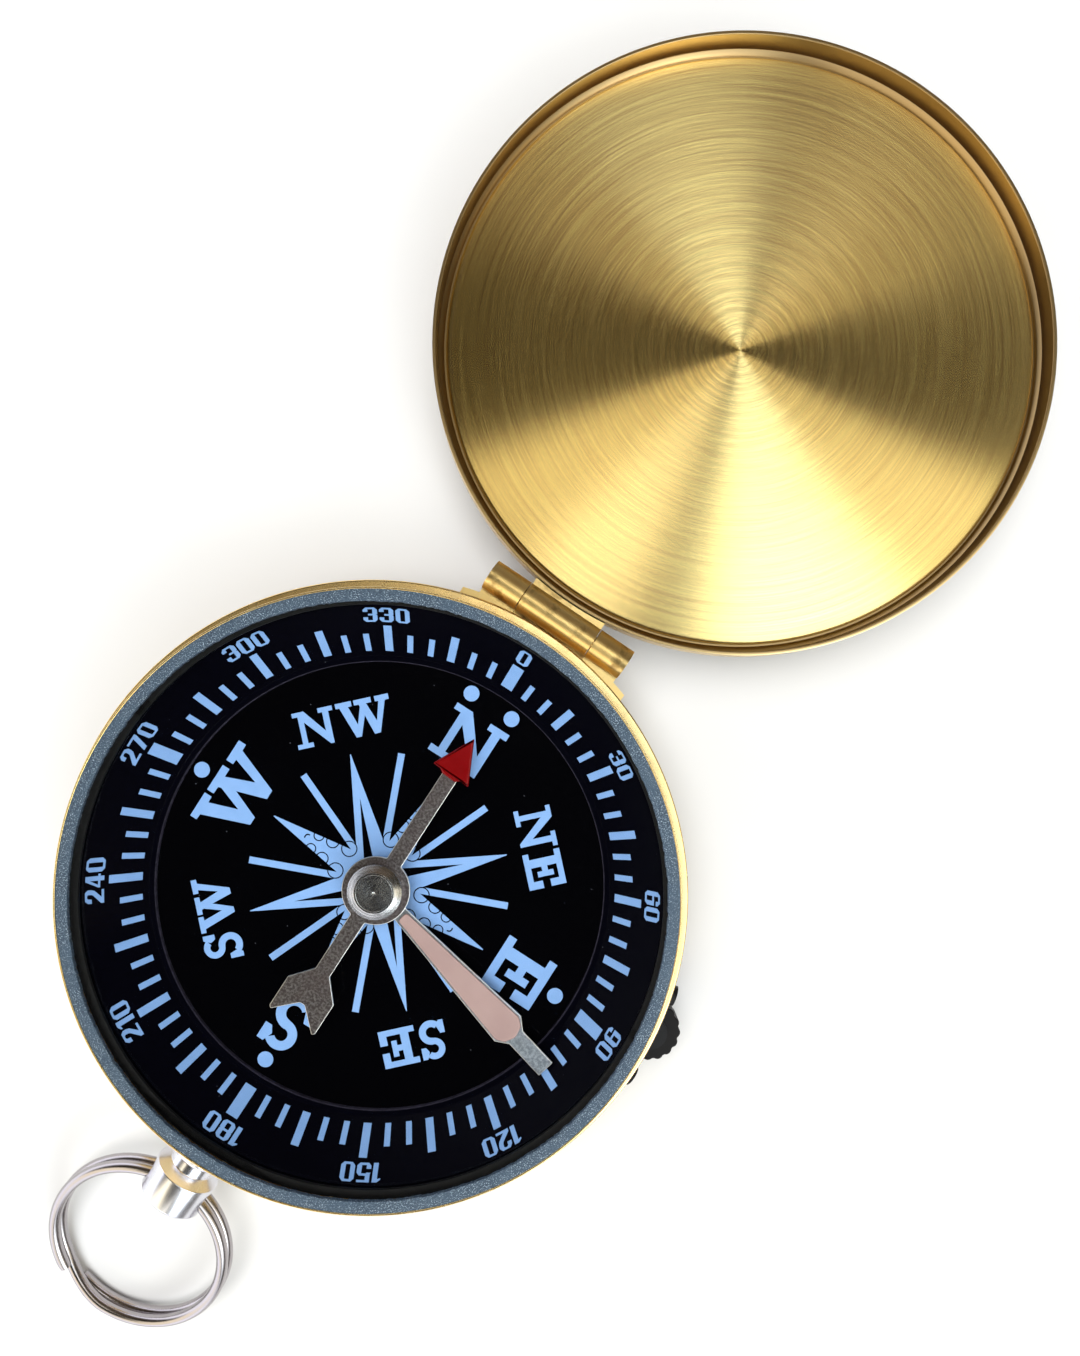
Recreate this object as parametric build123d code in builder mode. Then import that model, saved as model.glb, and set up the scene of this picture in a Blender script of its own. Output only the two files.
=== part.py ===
from build123d import *
import os
from math import asin, cos, degrees, radians, sin, sqrt

# Brass pocket compass with a flip lid, stored open. Millimetres.
# Origin: centre of the case's flat bottom. +Z up out of the glass, +Y towards the lid hinge, which is
# also the dial's north, and +X towards the thumbwheel. Bearings are degrees clockwise from +Y.
os.makedirs("parts", exist_ok=True)

# Driving dimensions
CASE_R = 22.75           # outside of the case
LID_R = 22.5             # outside of the lid
SEAT_Z = 8.0             # shoulder that the closed lid rests on
FACE_Z = 9.6             # top of the bezel
FLOOR_Z = 0.8            # top of the case floor
BORE_R = 21.25           # inside of the case wall
POCKET_R = 22.0          # counterbore that holds the bezel
LEDGE_Z = 7.4            # ledge under the bezel and the scale ring
BEZEL_R = 22.1           # outside of the bezel
WINDOW_R = 20.95         # clear window inside the retaining ring
GLASS_R = 21.9
GLASS_Z = 8.2            # underside of the glass
GLASS_T = 1.0
DIAL_Z = 3.8             # printed face of the dial
DIAL_R = 17.45
LIP_R = 16.9             # inner edge of the scale ring's lip
COURSE_BEARING = 102.8   # where the course pointer is set
NEEDLE_BEARING = -1.0    # where the needle points at rest
PIVOT_TIP_Z = 6.36
POINTER_Z = 5.3          # underside of the course pointer
POINTER_T = 0.2
NEEDLE_Z = 5.75          # underside of the needle
NEEDLE_T = 0.22
GEAR_Z = 2.2             # underside of the pointer gear
GEAR_T = 0.7
GEAR_TEETH = 160
GEAR_TIP_R = 21.02
GEAR_ROOT_R = 20.78
WHEEL_LOBES = 16
WHEEL_BEARING = 84.0
WHEEL_AXIS_R = 23.1      # thumbwheel axis to case axis
WHEEL_LOBE_R = 0.44
WHEEL_LOBE_CENTRE_R = 1.83
WHEEL_Z = 1.75
WHEEL_T = 2.6
AXLE_R = 0.34
RUNNING = 0.04           # radial clearance of turning fits
HINGE_Y = 23.95
HINGE_Z = 8.0
KNUCKLE_R = 1.14
KNUCKLE_MID = 5.9        # length of the lid's knuckle
KNUCKLE_SIDE = 2.8       # length of each case knuckle
KNUCKLE_GAP = 0.08
LID_WALL_R = 22.15       # inside of the lid wall, clear of the bezel
LID_PLATE_R = 21.6
LID_SHUT_GAP = 0.03      # rim to shoulder with the lid shut
STEM_Z = 4.4
STEM_HEAD_R = 2.5
HOLE_Y = -26.8           # cross hole that the split ring passes through
HOLE_R = 1.0
WIRE_R = 0.44
RING_R = 6.82            # centre of the ring's wire
RING_DROP = 14.8         # slope of the ring where it lies, degrees


def from_bearing(bearing, radius=1.0):
    """Point on a circle about the case axis at a bearing clockwise from +Y."""
    return radius * sin(radians(bearing)), radius * cos(radians(bearing))


wheel_x, wheel_y = from_bearing(WHEEL_BEARING, WHEEL_AXIS_R)
wheel_polar = 90 - WHEEL_BEARING
lid_centre = (0, 2 * HINGE_Y, 0)
lid_axis = Axis(lid_centre, (0, 0, 1))
lid_profile = Plane(origin=lid_centre, x_dir=(1, 0, 0), z_dir=(0, -1, 0))

# ---------------------------------------------------------------- case and window
RIVET_Z = 5.3
RIVET_R = 0.45
RIVET_SPREAD = 8.2       # degrees each side of the thumbwheel
SLOT_W = 4.9
SLOT_LOW, SLOT_HIGH = 1.6, 4.5
rivet_planes = []
for bearing in (WHEEL_BEARING - RIVET_SPREAD, WHEEL_BEARING + RIVET_SPREAD):
    out_x, out_y = from_bearing(bearing)
    rivet_planes.append(Plane(origin=(0, 0, RIVET_Z), x_dir=(0, 0, 1), z_dir=(out_x, out_y, 0)))
wheel_side = Location((0, 0, 0), (0, 0, wheel_polar))
STEM_TAIL_R = 0.9
BUSH_SPIGOT_R = 1.2
BUSH_SPIGOT_Z = 0.35

with BuildPart() as case_body:
    with BuildSketch(Plane.XZ):
        with BuildLine():
            Polyline(
                (0, 0), (CASE_R, 0), (CASE_R, SEAT_Z), (POCKET_R, SEAT_Z), (POCKET_R, LEDGE_Z),
                (BORE_R, LEDGE_Z), (BORE_R, FLOOR_Z), (0, FLOOR_Z), close=True,
            )
        make_face()
    revolve(axis=Axis.Z)
    bottom_rim = case_body.edges().filter_by(GeomType.CIRCLE).group_by(Axis.Z)[0]
    fillet(bottom_rim, 1.0)
    shoulder_rim = case_body.edges().filter_by(GeomType.CIRCLE).group_by(Axis.Z)[-1].sort_by(SortBy.RADIUS)[-1]
    fillet(shoulder_rim, 0.15)
    with Locations(wheel_side):
        with Locations((CASE_R, 0, (SLOT_LOW + SLOT_HIGH) / 2)):
            Box(4, SLOT_W, SLOT_HIGH - SLOT_LOW, mode=Mode.SUBTRACT)
    for plane in rivet_planes:
        with BuildSketch(plane.offset(BORE_R - 1)):
            Circle(RIVET_R)
        extrude(amount=3, mode=Mode.SUBTRACT)
    with Locations((0, -CASE_R, STEM_Z)):
        Cylinder(STEM_TAIL_R, 4, rotation=(90, 0, 0), mode=Mode.SUBTRACT)
    with BuildSketch(Plane.XY.offset(BUSH_SPIGOT_Z)):
        Circle(BUSH_SPIGOT_R)
    extrude(amount=1, mode=Mode.SUBTRACT)
case_body.part.label = "case_body"
export_step(case_body.part, "parts/case_body.step")

BEZEL_TUBE_R = 21.65     # inside of the part pressed in the case
BEZEL_LIP_R = 21.95      # inside of the part that shows
BEZEL_EDGE = 0.06        # rounding of its top edges
with BuildPart() as bezel_ring:
    with BuildSketch(Plane.XZ):
        with BuildLine():
            Polyline(
                (BEZEL_TUBE_R, LEDGE_Z), (POCKET_R, LEDGE_Z), (POCKET_R, SEAT_Z), (BEZEL_R, SEAT_Z),
                (BEZEL_R, FACE_Z), (BEZEL_LIP_R, FACE_Z), (BEZEL_LIP_R, SEAT_Z), (BEZEL_TUBE_R, SEAT_Z),
                close=True,
            )
        make_face()
    revolve(axis=Axis.Z)
    fillet(bezel_ring.edges().group_by(Axis.Z)[-1], BEZEL_EDGE)
bezel_ring.part.label = "bezel_ring"
export_step(bezel_ring.part, "parts/bezel_ring.step")

RING_TOP_DROP = 0.05
RETAINER_R = 21.1        # inside of the retaining ring
with BuildPart() as retaining_ring:
    with BuildSketch(Plane.XY.offset(GLASS_Z + GLASS_T)):
        Circle(BEZEL_LIP_R)
        Circle(RETAINER_R, mode=Mode.SUBTRACT)
    extrude(amount=FACE_Z - RING_TOP_DROP - GLASS_Z - GLASS_T)
retaining_ring.part.label = "retaining_ring"
export_step(retaining_ring.part, "parts/retaining_ring.step")

with BuildPart() as crystal_glass:
    with BuildSketch(Plane.XY.offset(GLASS_Z)):
        Circle(GLASS_R)
    extrude(amount=GLASS_T)
crystal_glass.part.label = "crystal_glass"
export_step(crystal_glass.part, "parts/crystal_glass.step")

FLANGE_T = 0.5
FLANGE_R = 21.6
with BuildPart() as glass_gasket:
    with BuildSketch(Plane.XY.offset(LEDGE_Z + FLANGE_T)):
        Circle(FLANGE_R)
        Circle(WINDOW_R, mode=Mode.SUBTRACT)
    extrude(amount=GLASS_Z - LEDGE_Z - FLANGE_T)
glass_gasket.part.label = "glass_gasket"
export_step(glass_gasket.part, "parts/glass_gasket.step")

# ---------------------------------------------------------------- dial
LIP_Z = 4.2              # top of the lip round the dial
FUNNEL_LOW_R = 17.35     # where the slope that carries the degree marks begins
FUNNEL_TOP_Z = 7.6
SKIRT_R = 18.2
SKIRT_Z = 3.3
with BuildPart() as scale_ring:
    with BuildSketch(Plane.XZ):
        with BuildLine():
            Polyline(
                (LIP_R, DIAL_Z), (LIP_R, LIP_Z), (FUNNEL_LOW_R, LIP_Z), (WINDOW_R, FUNNEL_TOP_Z),
                (WINDOW_R, LEDGE_Z + FLANGE_T), (FLANGE_R, LEDGE_Z + FLANGE_T), (FLANGE_R, LEDGE_Z),
                (BORE_R - 0.1, LEDGE_Z), (BORE_R - 0.1, 6.85), (SKIRT_R + 0.1, 3.9),
                (SKIRT_R, SKIRT_Z), (DIAL_R, SKIRT_Z), (DIAL_R, DIAL_Z), close=True,
            )
        make_face()
    revolve(axis=Axis.Z)
    lip_edge = scale_ring.edges().filter_by(GeomType.CIRCLE).group_by(SortBy.RADIUS)[0].sort_by(Axis.Z)[-1]
    fillet(lip_edge, 0.12)
scale_ring.part.label = "scale_ring"
export_step(scale_ring.part, "parts/scale_ring.step")

DIAL_T = 0.4
DIAL_HOLE_R = 1.2
with BuildPart() as dial_disc:
    with BuildSketch(Plane.XY.offset(DIAL_Z - DIAL_T)):
        Circle(DIAL_R)
        Circle(DIAL_HOLE_R, mode=Mode.SUBTRACT)
    extrude(amount=DIAL_T)
dial_disc.part.label = "dial_disc"
export_step(dial_disc.part, "parts/dial_disc.step")

# ---------------------------------------------------------------- pivot
BUSH_TOP_Z = 1.9
PIVOT_R = 0.55
with BuildPart() as pivot_bush:
    with BuildSketch(Plane.XZ):
        with BuildLine():
            Polyline(
                (0, BUSH_SPIGOT_Z), (BUSH_SPIGOT_R, BUSH_SPIGOT_Z), (BUSH_SPIGOT_R, FLOOR_Z), (2.6, FLOOR_Z),
                (2.6, 1.3), (2.1, BUSH_TOP_Z), (PIVOT_R, BUSH_TOP_Z), (PIVOT_R, FLOOR_Z), (0, FLOOR_Z),
                close=True,
            )
        make_face()
    revolve(axis=Axis.Z)
pivot_bush.part.label = "pivot_bush"
export_step(pivot_bush.part, "parts/pivot_bush.step")

with BuildPart() as pivot_post:
    with BuildSketch(Plane.XZ):
        with BuildLine():
            Polyline(
                (0, FLOOR_Z), (PIVOT_R, FLOOR_Z), (PIVOT_R, 5.55), (0.06, PIVOT_TIP_Z), (0, PIVOT_TIP_Z),
                close=True,
            )
        make_face()
    revolve(axis=Axis.Z)
pivot_post.part.label = "pivot_post"
export_step(pivot_post.part, "parts/pivot_post.step")

with BuildPart() as gear_washer:
    with BuildSketch(Plane.XY.offset(BUSH_TOP_Z)):
        Circle(1.9)
        Circle(PIVOT_R + 0.02, mode=Mode.SUBTRACT)
    extrude(amount=0.25)
gear_washer.part.label = "gear_washer"
export_step(gear_washer.part, "parts/gear_washer.step")

# ---------------------------------------------------------------- course pointer and its gear
SLEEVE_R = 1.0
TOOTH_ROOT_W = 0.41
first_tooth = wheel_polar - 180 / GEAR_TEETH
tooth_half_angle = degrees(asin(TOOTH_ROOT_W / 2 / GEAR_ROOT_R))
gear_outline = []
for tooth in range(GEAR_TEETH):
    middle = first_tooth + tooth * 360 / GEAR_TEETH
    for radius, turn in ((GEAR_ROOT_R, -tooth_half_angle), (GEAR_TIP_R, 0), (GEAR_ROOT_R, tooth_half_angle)):
        angle = radians(middle + turn)
        gear_outline.append((radius * cos(angle), radius * sin(angle)))

with BuildPart() as pointer_gear:
    with BuildSketch(Plane.XY.offset(GEAR_Z)):
        with BuildLine():
            Polyline(*gear_outline, close=True)
        make_face()
        with PolarLocations(11.5, 6):
            Circle(4.2, mode=Mode.SUBTRACT)
    extrude(amount=GEAR_T)
    with BuildSketch(Plane.XY.offset(GEAR_Z)):
        Circle(SLEEVE_R)
    extrude(amount=POINTER_Z + POINTER_T - GEAR_Z)
    with BuildSketch(Plane.XY.offset(GEAR_Z)):
        Circle(PIVOT_R + RUNNING)
    extrude(amount=POINTER_Z + POINTER_T - GEAR_Z, mode=Mode.SUBTRACT)
pointer_gear.part.label = "pointer_gear"
export_step(pointer_gear.part, "parts/pointer_gear.step")

POINTER_ROOT_W = 1.1
POINTER_WIDE_W = 2.7
POINTER_TIP_W = 1.38
POINTER_WIDE_AT = 14.2
POINTER_TIP_AT = 15.1
POINTER_END = 18.3
pointer_plane = Plane(
    origin=(0, 0, POINTER_Z), x_dir=(*from_bearing(COURSE_BEARING + 90), 0), z_dir=(0, 0, 1)
)
with BuildPart() as course_pointer:
    with BuildSketch(pointer_plane):
        with BuildLine():
            Polyline(
                (POINTER_ROOT_W / 2, 0), (POINTER_ROOT_W / 2, 2.2), (POINTER_WIDE_W / 2, POINTER_WIDE_AT),
                (POINTER_TIP_W / 2, POINTER_TIP_AT), (POINTER_TIP_W / 2, POINTER_END),
                (-POINTER_TIP_W / 2, POINTER_END), (-POINTER_TIP_W / 2, POINTER_TIP_AT),
                (-POINTER_WIDE_W / 2, POINTER_WIDE_AT), (-POINTER_ROOT_W / 2, 2.2), (-POINTER_ROOT_W / 2, 0),
                close=True,
            )
        make_face()
        Circle(2.2)
        Circle(SLEEVE_R, mode=Mode.SUBTRACT)
    extrude(amount=POINTER_T)
course_pointer.part.label = "course_pointer"
export_step(course_pointer.part, "parts/course_pointer.step")

# ---------------------------------------------------------------- needle
NEEDLE_HALF_W = 0.62
EYE_R = 2.53
BOSS_R = 1.1
CAP_TOP_Z = 6.95
CAP_BASE_R = 2.02
CAP_EDGE_Z = 6.63        # where the rim turns into the chamfer
CAP_FLAT_R = 1.47
needle_plane = Plane(
    origin=(0, 0, NEEDLE_Z), x_dir=(*from_bearing(NEEDLE_BEARING + 90), 0), z_dir=(0, 0, 1)
)
north_half = [(NEEDLE_HALF_W, 10.7), (1.53, 10.2), (0.0, 13.2)]
tail_half = [(NEEDLE_HALF_W, -7.2), (2.0, -8.8), (2.0, -11.3), (1.8, -11.5), (0.2, -9.95)]
needle_outline = north_half + [(-x, y) for x, y in reversed(north_half[:-1])]
needle_outline += [(-x, y) for x, y in tail_half] + list(reversed(tail_half))
with BuildPart() as needle:
    with BuildSketch(needle_plane):
        with BuildLine():
            Polyline(*needle_outline, close=True)
        make_face()
        Circle(EYE_R)
        Circle(BOSS_R, mode=Mode.SUBTRACT)
    extrude(amount=NEEDLE_T)
needle.part.label = "needle"
export_step(needle.part, "parts/needle.step")

CAP_FOOT_Z = 5.6
JEWEL_R = 0.8
JEWEL_Z, JEWEL_TOP_Z = 6.05, 6.6
with BuildPart() as needle_cap:
    with BuildSketch(Plane.XZ):
        with BuildLine():
            Polyline(
                (JEWEL_R, CAP_FOOT_Z), (1.35, CAP_FOOT_Z), (1.35, NEEDLE_Z), (BOSS_R, NEEDLE_Z),
                (BOSS_R, NEEDLE_Z + NEEDLE_T), (CAP_BASE_R, NEEDLE_Z + NEEDLE_T), (CAP_BASE_R, CAP_EDGE_Z),
                (CAP_FLAT_R, CAP_TOP_Z), (0.12, CAP_TOP_Z), (0, CAP_TOP_Z - 0.1), (0, JEWEL_TOP_Z),
                (JEWEL_R, JEWEL_TOP_Z), close=True,
            )
        make_face()
    revolve(axis=Axis.Z)
needle_cap.part.label = "needle_cap"
export_step(needle_cap.part, "parts/needle_cap.step")

with BuildPart() as cap_jewel:
    with BuildSketch(Plane.XZ):
        with BuildLine():
            Polyline(
                (0, PIVOT_TIP_Z + 0.03), (0.5, JEWEL_Z), (JEWEL_R, JEWEL_Z), (JEWEL_R, JEWEL_TOP_Z),
                (0, JEWEL_TOP_Z), close=True,
            )
        make_face()
    revolve(axis=Axis.Z)
cap_jewel.part.label = "cap_jewel"
export_step(cap_jewel.part, "parts/cap_jewel.step")

# ---------------------------------------------------------------- thumbwheel
lobe_polar = wheel_polar + 180
with BuildPart() as thumbwheel:
    with BuildSketch(Plane.XY.offset(WHEEL_Z)):
        with Locations((wheel_x, wheel_y)):
            Circle(WHEEL_LOBE_CENTRE_R)
            with PolarLocations(WHEEL_LOBE_CENTRE_R, WHEEL_LOBES, start_angle=lobe_polar):
                Circle(WHEEL_LOBE_R)
            Circle(AXLE_R + RUNNING, mode=Mode.SUBTRACT)
    extrude(amount=WHEEL_T)
thumbwheel.part.label = "thumbwheel"
export_step(thumbwheel.part, "parts/thumbwheel.step")

BRACKET_T = 0.4
BRACKET_LOW, BRACKET_HIGH = 0.95, 6.0
BRACKET_W = 7.4
EAR_T = 0.5
EAR_R = 1.2
with BuildPart() as wheel_bracket:
    with BuildSketch(Plane.XY.offset(BRACKET_LOW)):
        with Locations(wheel_side):
            with Locations((CASE_R, 0)):
                Rectangle(3, BRACKET_W)
        Circle(CASE_R + BRACKET_T, mode=Mode.INTERSECT)
    extrude(amount=BRACKET_HIGH - BRACKET_LOW)
    with Locations(wheel_side):
        with Locations((CASE_R, 0, (SLOT_LOW + SLOT_HIGH) / 2)):
            Box(6, SLOT_W, SLOT_HIGH - SLOT_LOW, mode=Mode.SUBTRACT)
    for ear_z in (SLOT_LOW - EAR_T, SLOT_HIGH):
        with BuildSketch(Plane.XY.offset(ear_z)):
            with Locations((wheel_x, wheel_y)):
                Circle(EAR_R)
            with Locations(wheel_side):
                with Locations((CASE_R, 0)):
                    Rectangle(2 * (WHEEL_AXIS_R - CASE_R), 2 * EAR_R)
        extrude(amount=EAR_T)
    with BuildSketch(Plane.XY):
        Circle(CASE_R)
    extrude(amount=SEAT_Z, mode=Mode.SUBTRACT)
    with BuildSketch(Plane.XY):
        with Locations((wheel_x, wheel_y)):
            Circle(AXLE_R)
    extrude(amount=SEAT_Z, mode=Mode.SUBTRACT)
    for plane in rivet_planes:
        with BuildSketch(plane.offset(CASE_R - 1)):
            Circle(RIVET_R)
        extrude(amount=2, mode=Mode.SUBTRACT)
wheel_bracket.part.label = "wheel_bracket"
export_step(wheel_bracket.part, "parts/wheel_bracket.step")

AXLE_PEEN = 0.15
with BuildPart() as wheel_axle:
    with BuildSketch(Plane.XY.offset(SLOT_LOW - EAR_T)):
        with Locations((wheel_x, wheel_y)):
            Circle(AXLE_R)
    extrude(amount=SLOT_HIGH - SLOT_LOW + 2 * EAR_T + AXLE_PEEN)
    chamfer(wheel_axle.edges().group_by(Axis.Z)[-1], AXLE_PEEN)
wheel_axle.part.label = "wheel_axle"
export_step(wheel_axle.part, "parts/wheel_axle.step")

with BuildPart() as bracket_rivets:
    for plane in rivet_planes:
        with BuildSketch(plane.offset(BORE_R - 0.05)):
            Circle(RIVET_R)
        extrude(amount=CASE_R + BRACKET_T + 0.1 - BORE_R)
        with BuildSketch(plane.offset(CASE_R + BRACKET_T)):
            Circle(0.75)
        extrude(amount=0.35)
bracket_rivets.part.label = "bracket_rivets"
export_step(bracket_rivets.part, "parts/bracket_rivets.step")

# ---------------------------------------------------------------- hinge
LEAF_T = 0.45
CASE_LEAF_W = 14.0
CASE_LEAF_LOW, CASE_LEAF_HIGH = 4.6, 7.6
NOTCH_Z = 6.6            # the case leaf is cut away under the lid's knuckle
WEB_LOW, WEB_HIGH = 6.95, 7.5
PIN_R = 0.5
side_knuckle_x = KNUCKLE_MID / 2 + KNUCKLE_GAP + KNUCKLE_SIDE / 2
with BuildPart() as hinge_case_leaf:
    with BuildSketch(Plane.XY.offset(CASE_LEAF_LOW)):
        with Locations((0, CASE_R)):
            Rectangle(CASE_LEAF_W, 8)
        Circle(CASE_R + LEAF_T, mode=Mode.INTERSECT)
    extrude(amount=CASE_LEAF_HIGH - CASE_LEAF_LOW)
    with Locations((0, CASE_R, NOTCH_Z + 1)):
        Box(KNUCKLE_MID + 2 * KNUCKLE_GAP, 4, 2, mode=Mode.SUBTRACT)
    with Locations((side_knuckle_x, HINGE_Y, HINGE_Z), (-side_knuckle_x, HINGE_Y, HINGE_Z)):
        Cylinder(KNUCKLE_R, KNUCKLE_SIDE, rotation=(0, 90, 0))
    with Locations((side_knuckle_x, HINGE_Y, WEB_LOW), (-side_knuckle_x, HINGE_Y, WEB_LOW)):
        Box(KNUCKLE_SIDE, 3, WEB_HIGH - WEB_LOW, align=(Align.CENTER, Align.MAX, Align.MIN))
    with BuildSketch(Plane.XY):
        Circle(CASE_R)
    extrude(amount=SEAT_Z + 2, mode=Mode.SUBTRACT)
    with Locations((0, HINGE_Y, HINGE_Z)):
        Cylinder(PIN_R, 20, rotation=(0, 90, 0), mode=Mode.SUBTRACT)
hinge_case_leaf.part.label = "hinge_case_leaf"
export_step(hinge_case_leaf.part, "parts/hinge_case_leaf.step")

LID_LEAF_LOW, LID_LEAF_HIGH = 5.8, 7.85
with BuildPart() as hinge_lid_leaf:
    with BuildSketch(Plane.XY.offset(LID_LEAF_LOW)):
        with Locations(lid_centre):
            Circle(LID_R + LEAF_T)
        with Locations((0, 2 * HINGE_Y - LID_R)):
            Rectangle(KNUCKLE_MID, 4, mode=Mode.INTERSECT)
    extrude(amount=LID_LEAF_HIGH - LID_LEAF_LOW)
    with Locations((0, HINGE_Y, HINGE_Z)):
        Cylinder(KNUCKLE_R, KNUCKLE_MID, rotation=(0, 90, 0))
    with Locations((0, HINGE_Y, WEB_LOW)):
        Box(KNUCKLE_MID, 3, LID_LEAF_HIGH - WEB_LOW, align=(Align.CENTER, Align.MIN, Align.MIN))
    with BuildSketch(Plane.XY):
        with Locations(lid_centre):
            Circle(LID_R)
    extrude(amount=SEAT_Z + 2, mode=Mode.SUBTRACT)
    with Locations((0, HINGE_Y, HINGE_Z)):
        Cylinder(PIN_R + RUNNING, 20, rotation=(0, 90, 0), mode=Mode.SUBTRACT)
hinge_lid_leaf.part.label = "hinge_lid_leaf"
export_step(hinge_lid_leaf.part, "parts/hinge_lid_leaf.step")

PIN_HALF = KNUCKLE_MID / 2 + KNUCKLE_GAP + KNUCKLE_SIDE
with BuildPart() as hinge_pin:
    with Locations((0, HINGE_Y, HINGE_Z)):
        Cylinder(PIN_R, 2 * PIN_HALF + 0.1, rotation=(0, 90, 0))
    fillet(hinge_pin.edges().filter_by(GeomType.CIRCLE), 0.04)
hinge_pin.part.label = "hinge_pin"
export_step(hinge_pin.part, "parts/hinge_pin.step")

# ---------------------------------------------------------------- lid, lying open
RIM_Z = SEAT_Z - LID_SHUT_GAP
PLATE_TOP_Z = 6.27
PLATE_LOW_Z = 5.9
LID_OUT_Z = 5.0          # outside, across the flat middle
LID_EDGE_Z = 5.35        # outside, where the corner radius begins
LID_CORNER = 0.9
LID_FLAT_R = 14.0
LID_SEAT_Z = 5.88        # inside ledge that the plate lies on
diagonal = LID_CORNER * sin(radians(45))
with BuildPart() as lid_shell:
    with BuildSketch(lid_profile):
        with BuildLine():
            Line((0, LID_OUT_Z), (LID_FLAT_R, LID_OUT_Z))
            dome = TangentArc((LID_FLAT_R, LID_OUT_Z), (LID_R - LID_CORNER, LID_EDGE_Z), tangent=(1, 0))
            ThreePointArc(
                (LID_R - LID_CORNER, LID_EDGE_Z),
                (LID_R - LID_CORNER + diagonal, LID_EDGE_Z + LID_CORNER - diagonal),
                (LID_R, LID_EDGE_Z + LID_CORNER),
            )
            Polyline(
                (LID_R, LID_EDGE_Z + LID_CORNER), (LID_R, RIM_Z), (LID_WALL_R, RIM_Z),
                (LID_WALL_R, LID_EDGE_Z + LID_CORNER), (LID_PLATE_R + 0.15, LID_SEAT_Z),
                (LID_PLATE_R - 0.7, LID_SEAT_Z), (LID_FLAT_R, 5.4), (0, 5.4), (0, LID_OUT_Z),
            )
        make_face()
    revolve(axis=lid_axis)
lid_shell.part.label = "lid_shell"
export_step(lid_shell.part, "parts/lid_shell.step")

with BuildPart() as lid_plate:
    with BuildSketch(Plane.XY.offset(PLATE_LOW_Z)):
        with Locations(lid_centre):
            Circle(LID_PLATE_R)
    extrude(amount=PLATE_TOP_Z - PLATE_LOW_Z)
    fillet(lid_plate.edges().group_by(Axis.Z)[-1], 0.25)
lid_plate.part.label = "lid_plate"
export_step(lid_plate.part, "parts/lid_plate.step")

# ---------------------------------------------------------------- stem and split ring
BOSS_OUT_R = 2.1
BOSS_END_Y = -24.3
HEAD_Y = -25.15          # inner end of the head
HEAD_BEVEL = 0.45
HEAD_END_Y = -28.05
NECK_R = 1.65
stem_axis = Axis((0, 0, STEM_Z), (0, 1, 0))
with BuildPart() as stem_boss:
    with BuildSketch(Plane.XY.offset(STEM_Z)):
        with Locations((STEM_TAIL_R, BOSS_END_Y)):
            Rectangle(BOSS_OUT_R - STEM_TAIL_R, 4, align=(Align.MIN, Align.MIN))
    revolve(axis=stem_axis)
    with BuildSketch(Plane.XY):
        Circle(CASE_R)
    extrude(amount=SEAT_Z, mode=Mode.SUBTRACT)
stem_boss.part.label = "stem_boss"
export_step(stem_boss.part, "parts/stem_boss.step")

WASHER_Y = -20.85
with BuildPart() as stem_post:
    with BuildSketch(Plane.XY.offset(STEM_Z)):
        with BuildLine():
            Polyline(
                (0, WASHER_Y + 0.2), (1.1, WASHER_Y + 0.2), (1.1, WASHER_Y), (STEM_TAIL_R, WASHER_Y),
                (STEM_TAIL_R, BOSS_END_Y), (NECK_R, BOSS_END_Y), (NECK_R, HEAD_Y), (STEM_HEAD_R, HEAD_Y - HEAD_BEVEL),
                (STEM_HEAD_R, HEAD_END_Y + 0.2), (STEM_HEAD_R - 0.2, HEAD_END_Y), (0, HEAD_END_Y), close=True,
            )
        make_face()
    revolve(axis=stem_axis)
    with Locations((0, HOLE_Y, STEM_Z)):
        Cylinder(HOLE_R, 8, rotation=(0, 90, 0), mode=Mode.SUBTRACT)
stem_post.part.label = "stem_post"
export_step(stem_post.part, "parts/stem_post.step")

with BuildPart() as stem_washer:
    with BuildSketch(Plane.XZ.offset(-WASHER_Y)):
        with Locations((0, STEM_Z)):
            Circle(1.35)
            Circle(STEM_TAIL_R, mode=Mode.SUBTRACT)
    extrude(amount=0.34)
stem_washer.part.label = "stem_washer"
export_step(stem_washer.part, "parts/stem_washer.step")

RING_PULL = 0.33         # how far the wire is drawn out of the middle of its hole
bow = RING_R - sqrt(RING_R**2 - STEM_HEAD_R**2)
reach = RING_R - bow + RING_PULL
drop = radians(RING_DROP)
ring_plane = Plane(
    origin=(0, HOLE_Y - reach * cos(drop), STEM_Z - reach * sin(drop)),
    x_dir=(1, 0, 0), z_dir=(0, -sin(drop), cos(drop)),
)
LAYER = 0.42
with BuildPart() as split_ring:
    with Locations(ring_plane.offset(LAYER), ring_plane.offset(-LAYER)):
        Torus(RING_R, WIRE_R)
split_ring.part.label = "split_ring"
export_step(split_ring.part, "parts/split_ring.step")

low_point = STEM_Z - (reach + RING_R) * sin(drop) - (LAYER + WIRE_R) * cos(drop)
print(f"ring centre y {ring_plane.origin.Y:.2f}, z {ring_plane.origin.Z:.2f}, lowest point about {low_point:.2f}")
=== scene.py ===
import math
import random

import bmesh
import bpy
from mathutils import Matrix, Vector
from mathutils.geometry import delaunay_2d_cdt


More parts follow.
